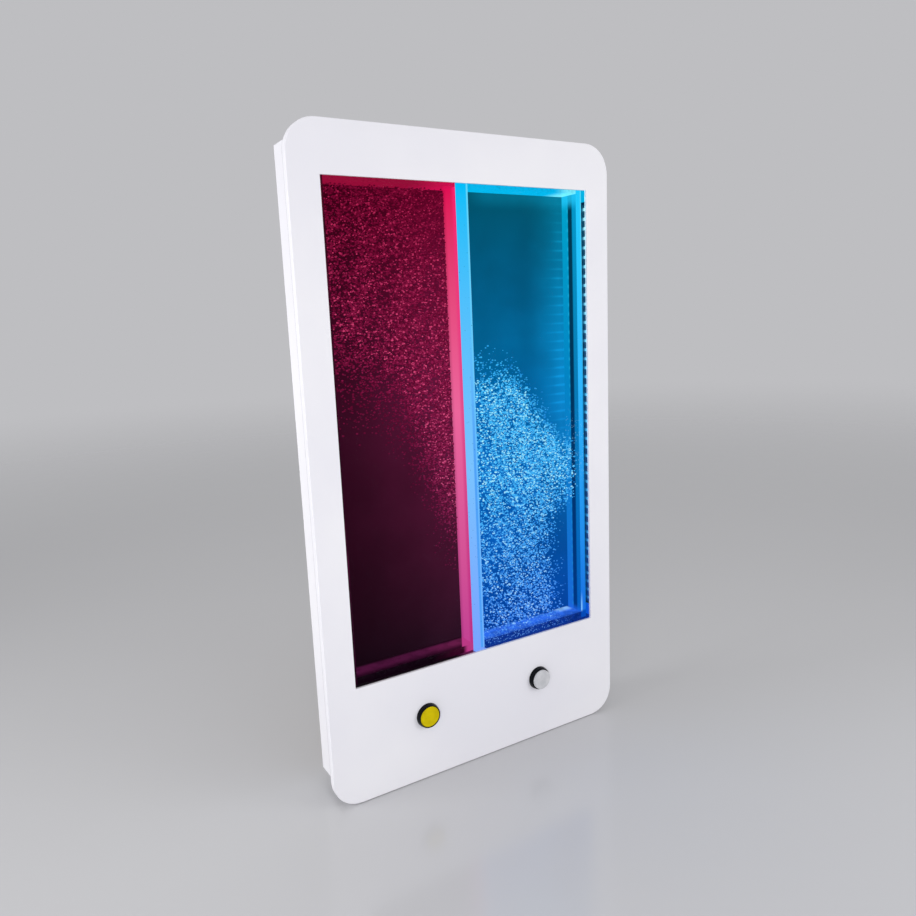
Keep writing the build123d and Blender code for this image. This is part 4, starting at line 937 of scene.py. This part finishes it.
# Floor: a round sheet whose edge fades into the background; a ring's radius grows with its number squared
def makeFloor():
    plan = {"gap": 0.0012, "radius": 9.0, "rings": 24, "spokes": 72, "fadeFrom": 2.2, "fadeTo": 8.0}
    radii = plan["radius"] * (np.arange(1, plan["rings"] + 1) / plan["rings"]) ** 2
    angles = np.arange(plan["spokes"]) * math.tau / plan["spokes"]
    grid = np.stack([np.outer(radii, np.cos(angles)), np.outer(radii, np.sin(angles)),
                     np.full((plan["rings"], plan["spokes"]), fasciaLow.z - plan["gap"])], 2)
    points = np.vstack([grid.reshape(-1, 3), [[0, 0, fasciaLow.z - plan["gap"]]]])
    ring, spoke = np.meshgrid(np.arange(plan["rings"] - 1), np.arange(plan["spokes"]), indexing="ij")
    after = (spoke + 1) % plan["spokes"]
    first, outer = ring * plan["spokes"], (ring + 1) * plan["spokes"]
    quads = np.stack([first + spoke, outer + spoke, outer + after, first + after], 2).reshape(-1, 4)
    middle = [(len(points) - 1, s, (s + 1) % plan["spokes"]) for s in range(plan["spokes"])]
    mesh = bpy.data.meshes.new("studioFloor")
    mesh.from_pydata(points, [], [list(q) for q in quads] + middle)
    floor = bpy.data.objects.new("studioFloor", mesh)
    bpy.context.scene.collection.objects.link(floor)
    material, tree, shader = newMaterial("studioFloor", Base_Color=(196, 196, 199),
                                         Specular_IOR_Level=0.5)
    point = placeOf(tree)[0]
    away = addNode(tree, "ShaderNodeVectorMath", {0: point, 1: (0, 0, fasciaLow.z)}, operation="DISTANCE")
    connect(tree, stretch(tree, away.outputs["Value"], plan["fadeFrom"], plan["fadeTo"], 1.0, 0.0),
            shader.inputs["Alpha"])
    grain = useGroup(tree, fineGrain, Point=point, Scale=200.0, Base=0.16, Spread=0.06)
    connect(tree, grain["Roughness"], shader.inputs["Roughness"])
    mesh.materials.append(material)


makeFloor()

# World: even light, and a pale grey where the camera or a mirror looks past the floor
studio = {"light": 0.62, "backdrop": (190, 190, 193)}
world = bpy.data.worlds.new("studio")
bpy.context.scene.world = world
world.use_nodes = True
sky = world.node_tree
sky.nodes.clear()
path = addNode(sky, "ShaderNodeLightPath").outputs
seen = calculate(sky, "MAXIMUM", path["Is Camera Ray"], path["Is Glossy Ray"])
seen = calculate(sky, "MAXIMUM", seen, path["Is Transmission Ray"])
lightGround = addNode(sky, "ShaderNodeBackground", {"Color": white, "Strength": studio["light"]})
shownGround = addNode(sky, "ShaderNodeBackground", {"Color": studio["backdrop"], "Strength": 1.0})
mixed = addNode(sky, "ShaderNodeMixShader", {0: seen, 1: lightGround.outputs[0], 2: shownGround.outputs[0]})
addNode(sky, "ShaderNodeOutputWorld", {0: mixed.outputs[0]})

# Lamps: soft panels, each aimed at a point on the object, and not mirrored in the floor
lamps = {
    "key": {"place": (-1.08, -1.6, -0.22), "aim": (-0.05, -0.1, -0.4), "size": 0.9, "power": 10.9, "spread": 180.0},
    "side": {"place": (-2.4, 0.3, 0.1), "aim": (-0.28, -0.05, -0.4), "size": 1.4, "power": 10.0, "spread": 100.0},
    "fill": {"place": (1.07, -1.6, -0.18), "aim": (-0.05, -0.1, -0.4), "size": 0.9, "power": 9.2, "spread": 180.0},
}
for name, lamp in lamps.items():
    light = bpy.data.lights.new(name, "AREA")
    light.size = lamp["size"]
    light.energy = lamp["power"]
    light.spread = math.radians(lamp["spread"])
    holder = bpy.data.objects.new(name, light)
    holder.visible_glossy = False
    holder.location = lamp["place"]
    holder.rotation_mode = "QUATERNION"
    holder.rotation_quaternion = (Vector(lamp["aim"]) - Vector(lamp["place"])).to_track_quat("-Z", "Y")
    bpy.context.scene.collection.objects.link(holder)

# Camera: low at the left, looking a little down, and rolled slightly
shot = {"place": (-0.69363, -1.20326, -0.14148), "azimuth": -30.878, "elevation": 10.326, "roll": -2.409,
        "lens": 30.25}
camera = bpy.data.objects.new("camera", bpy.data.cameras.new("camera"))
camera.data.lens = shot["lens"]
camera.data.sensor_width = 36.0
camera.data.clip_start = 0.02
camera.data.clip_end = 100.0
turn, lift = math.radians(shot["azimuth"]), math.radians(shot["elevation"])
ahead = Vector((-math.sin(turn) * math.cos(lift), math.cos(turn) * math.cos(lift), -math.sin(lift)))
camera.location = shot["place"]
camera.rotation_mode = "QUATERNION"
camera.rotation_quaternion = (ahead.to_track_quat("-Z", "Y")
                              @ Quaternion((0, 0, 1), math.radians(shot["roll"])))
bpy.context.scene.collection.objects.link(camera)
bpy.context.scene.camera = camera
bpy.context.scene.view_settings.view_transform = "Standard"
print("camera, lamps and floor placed")
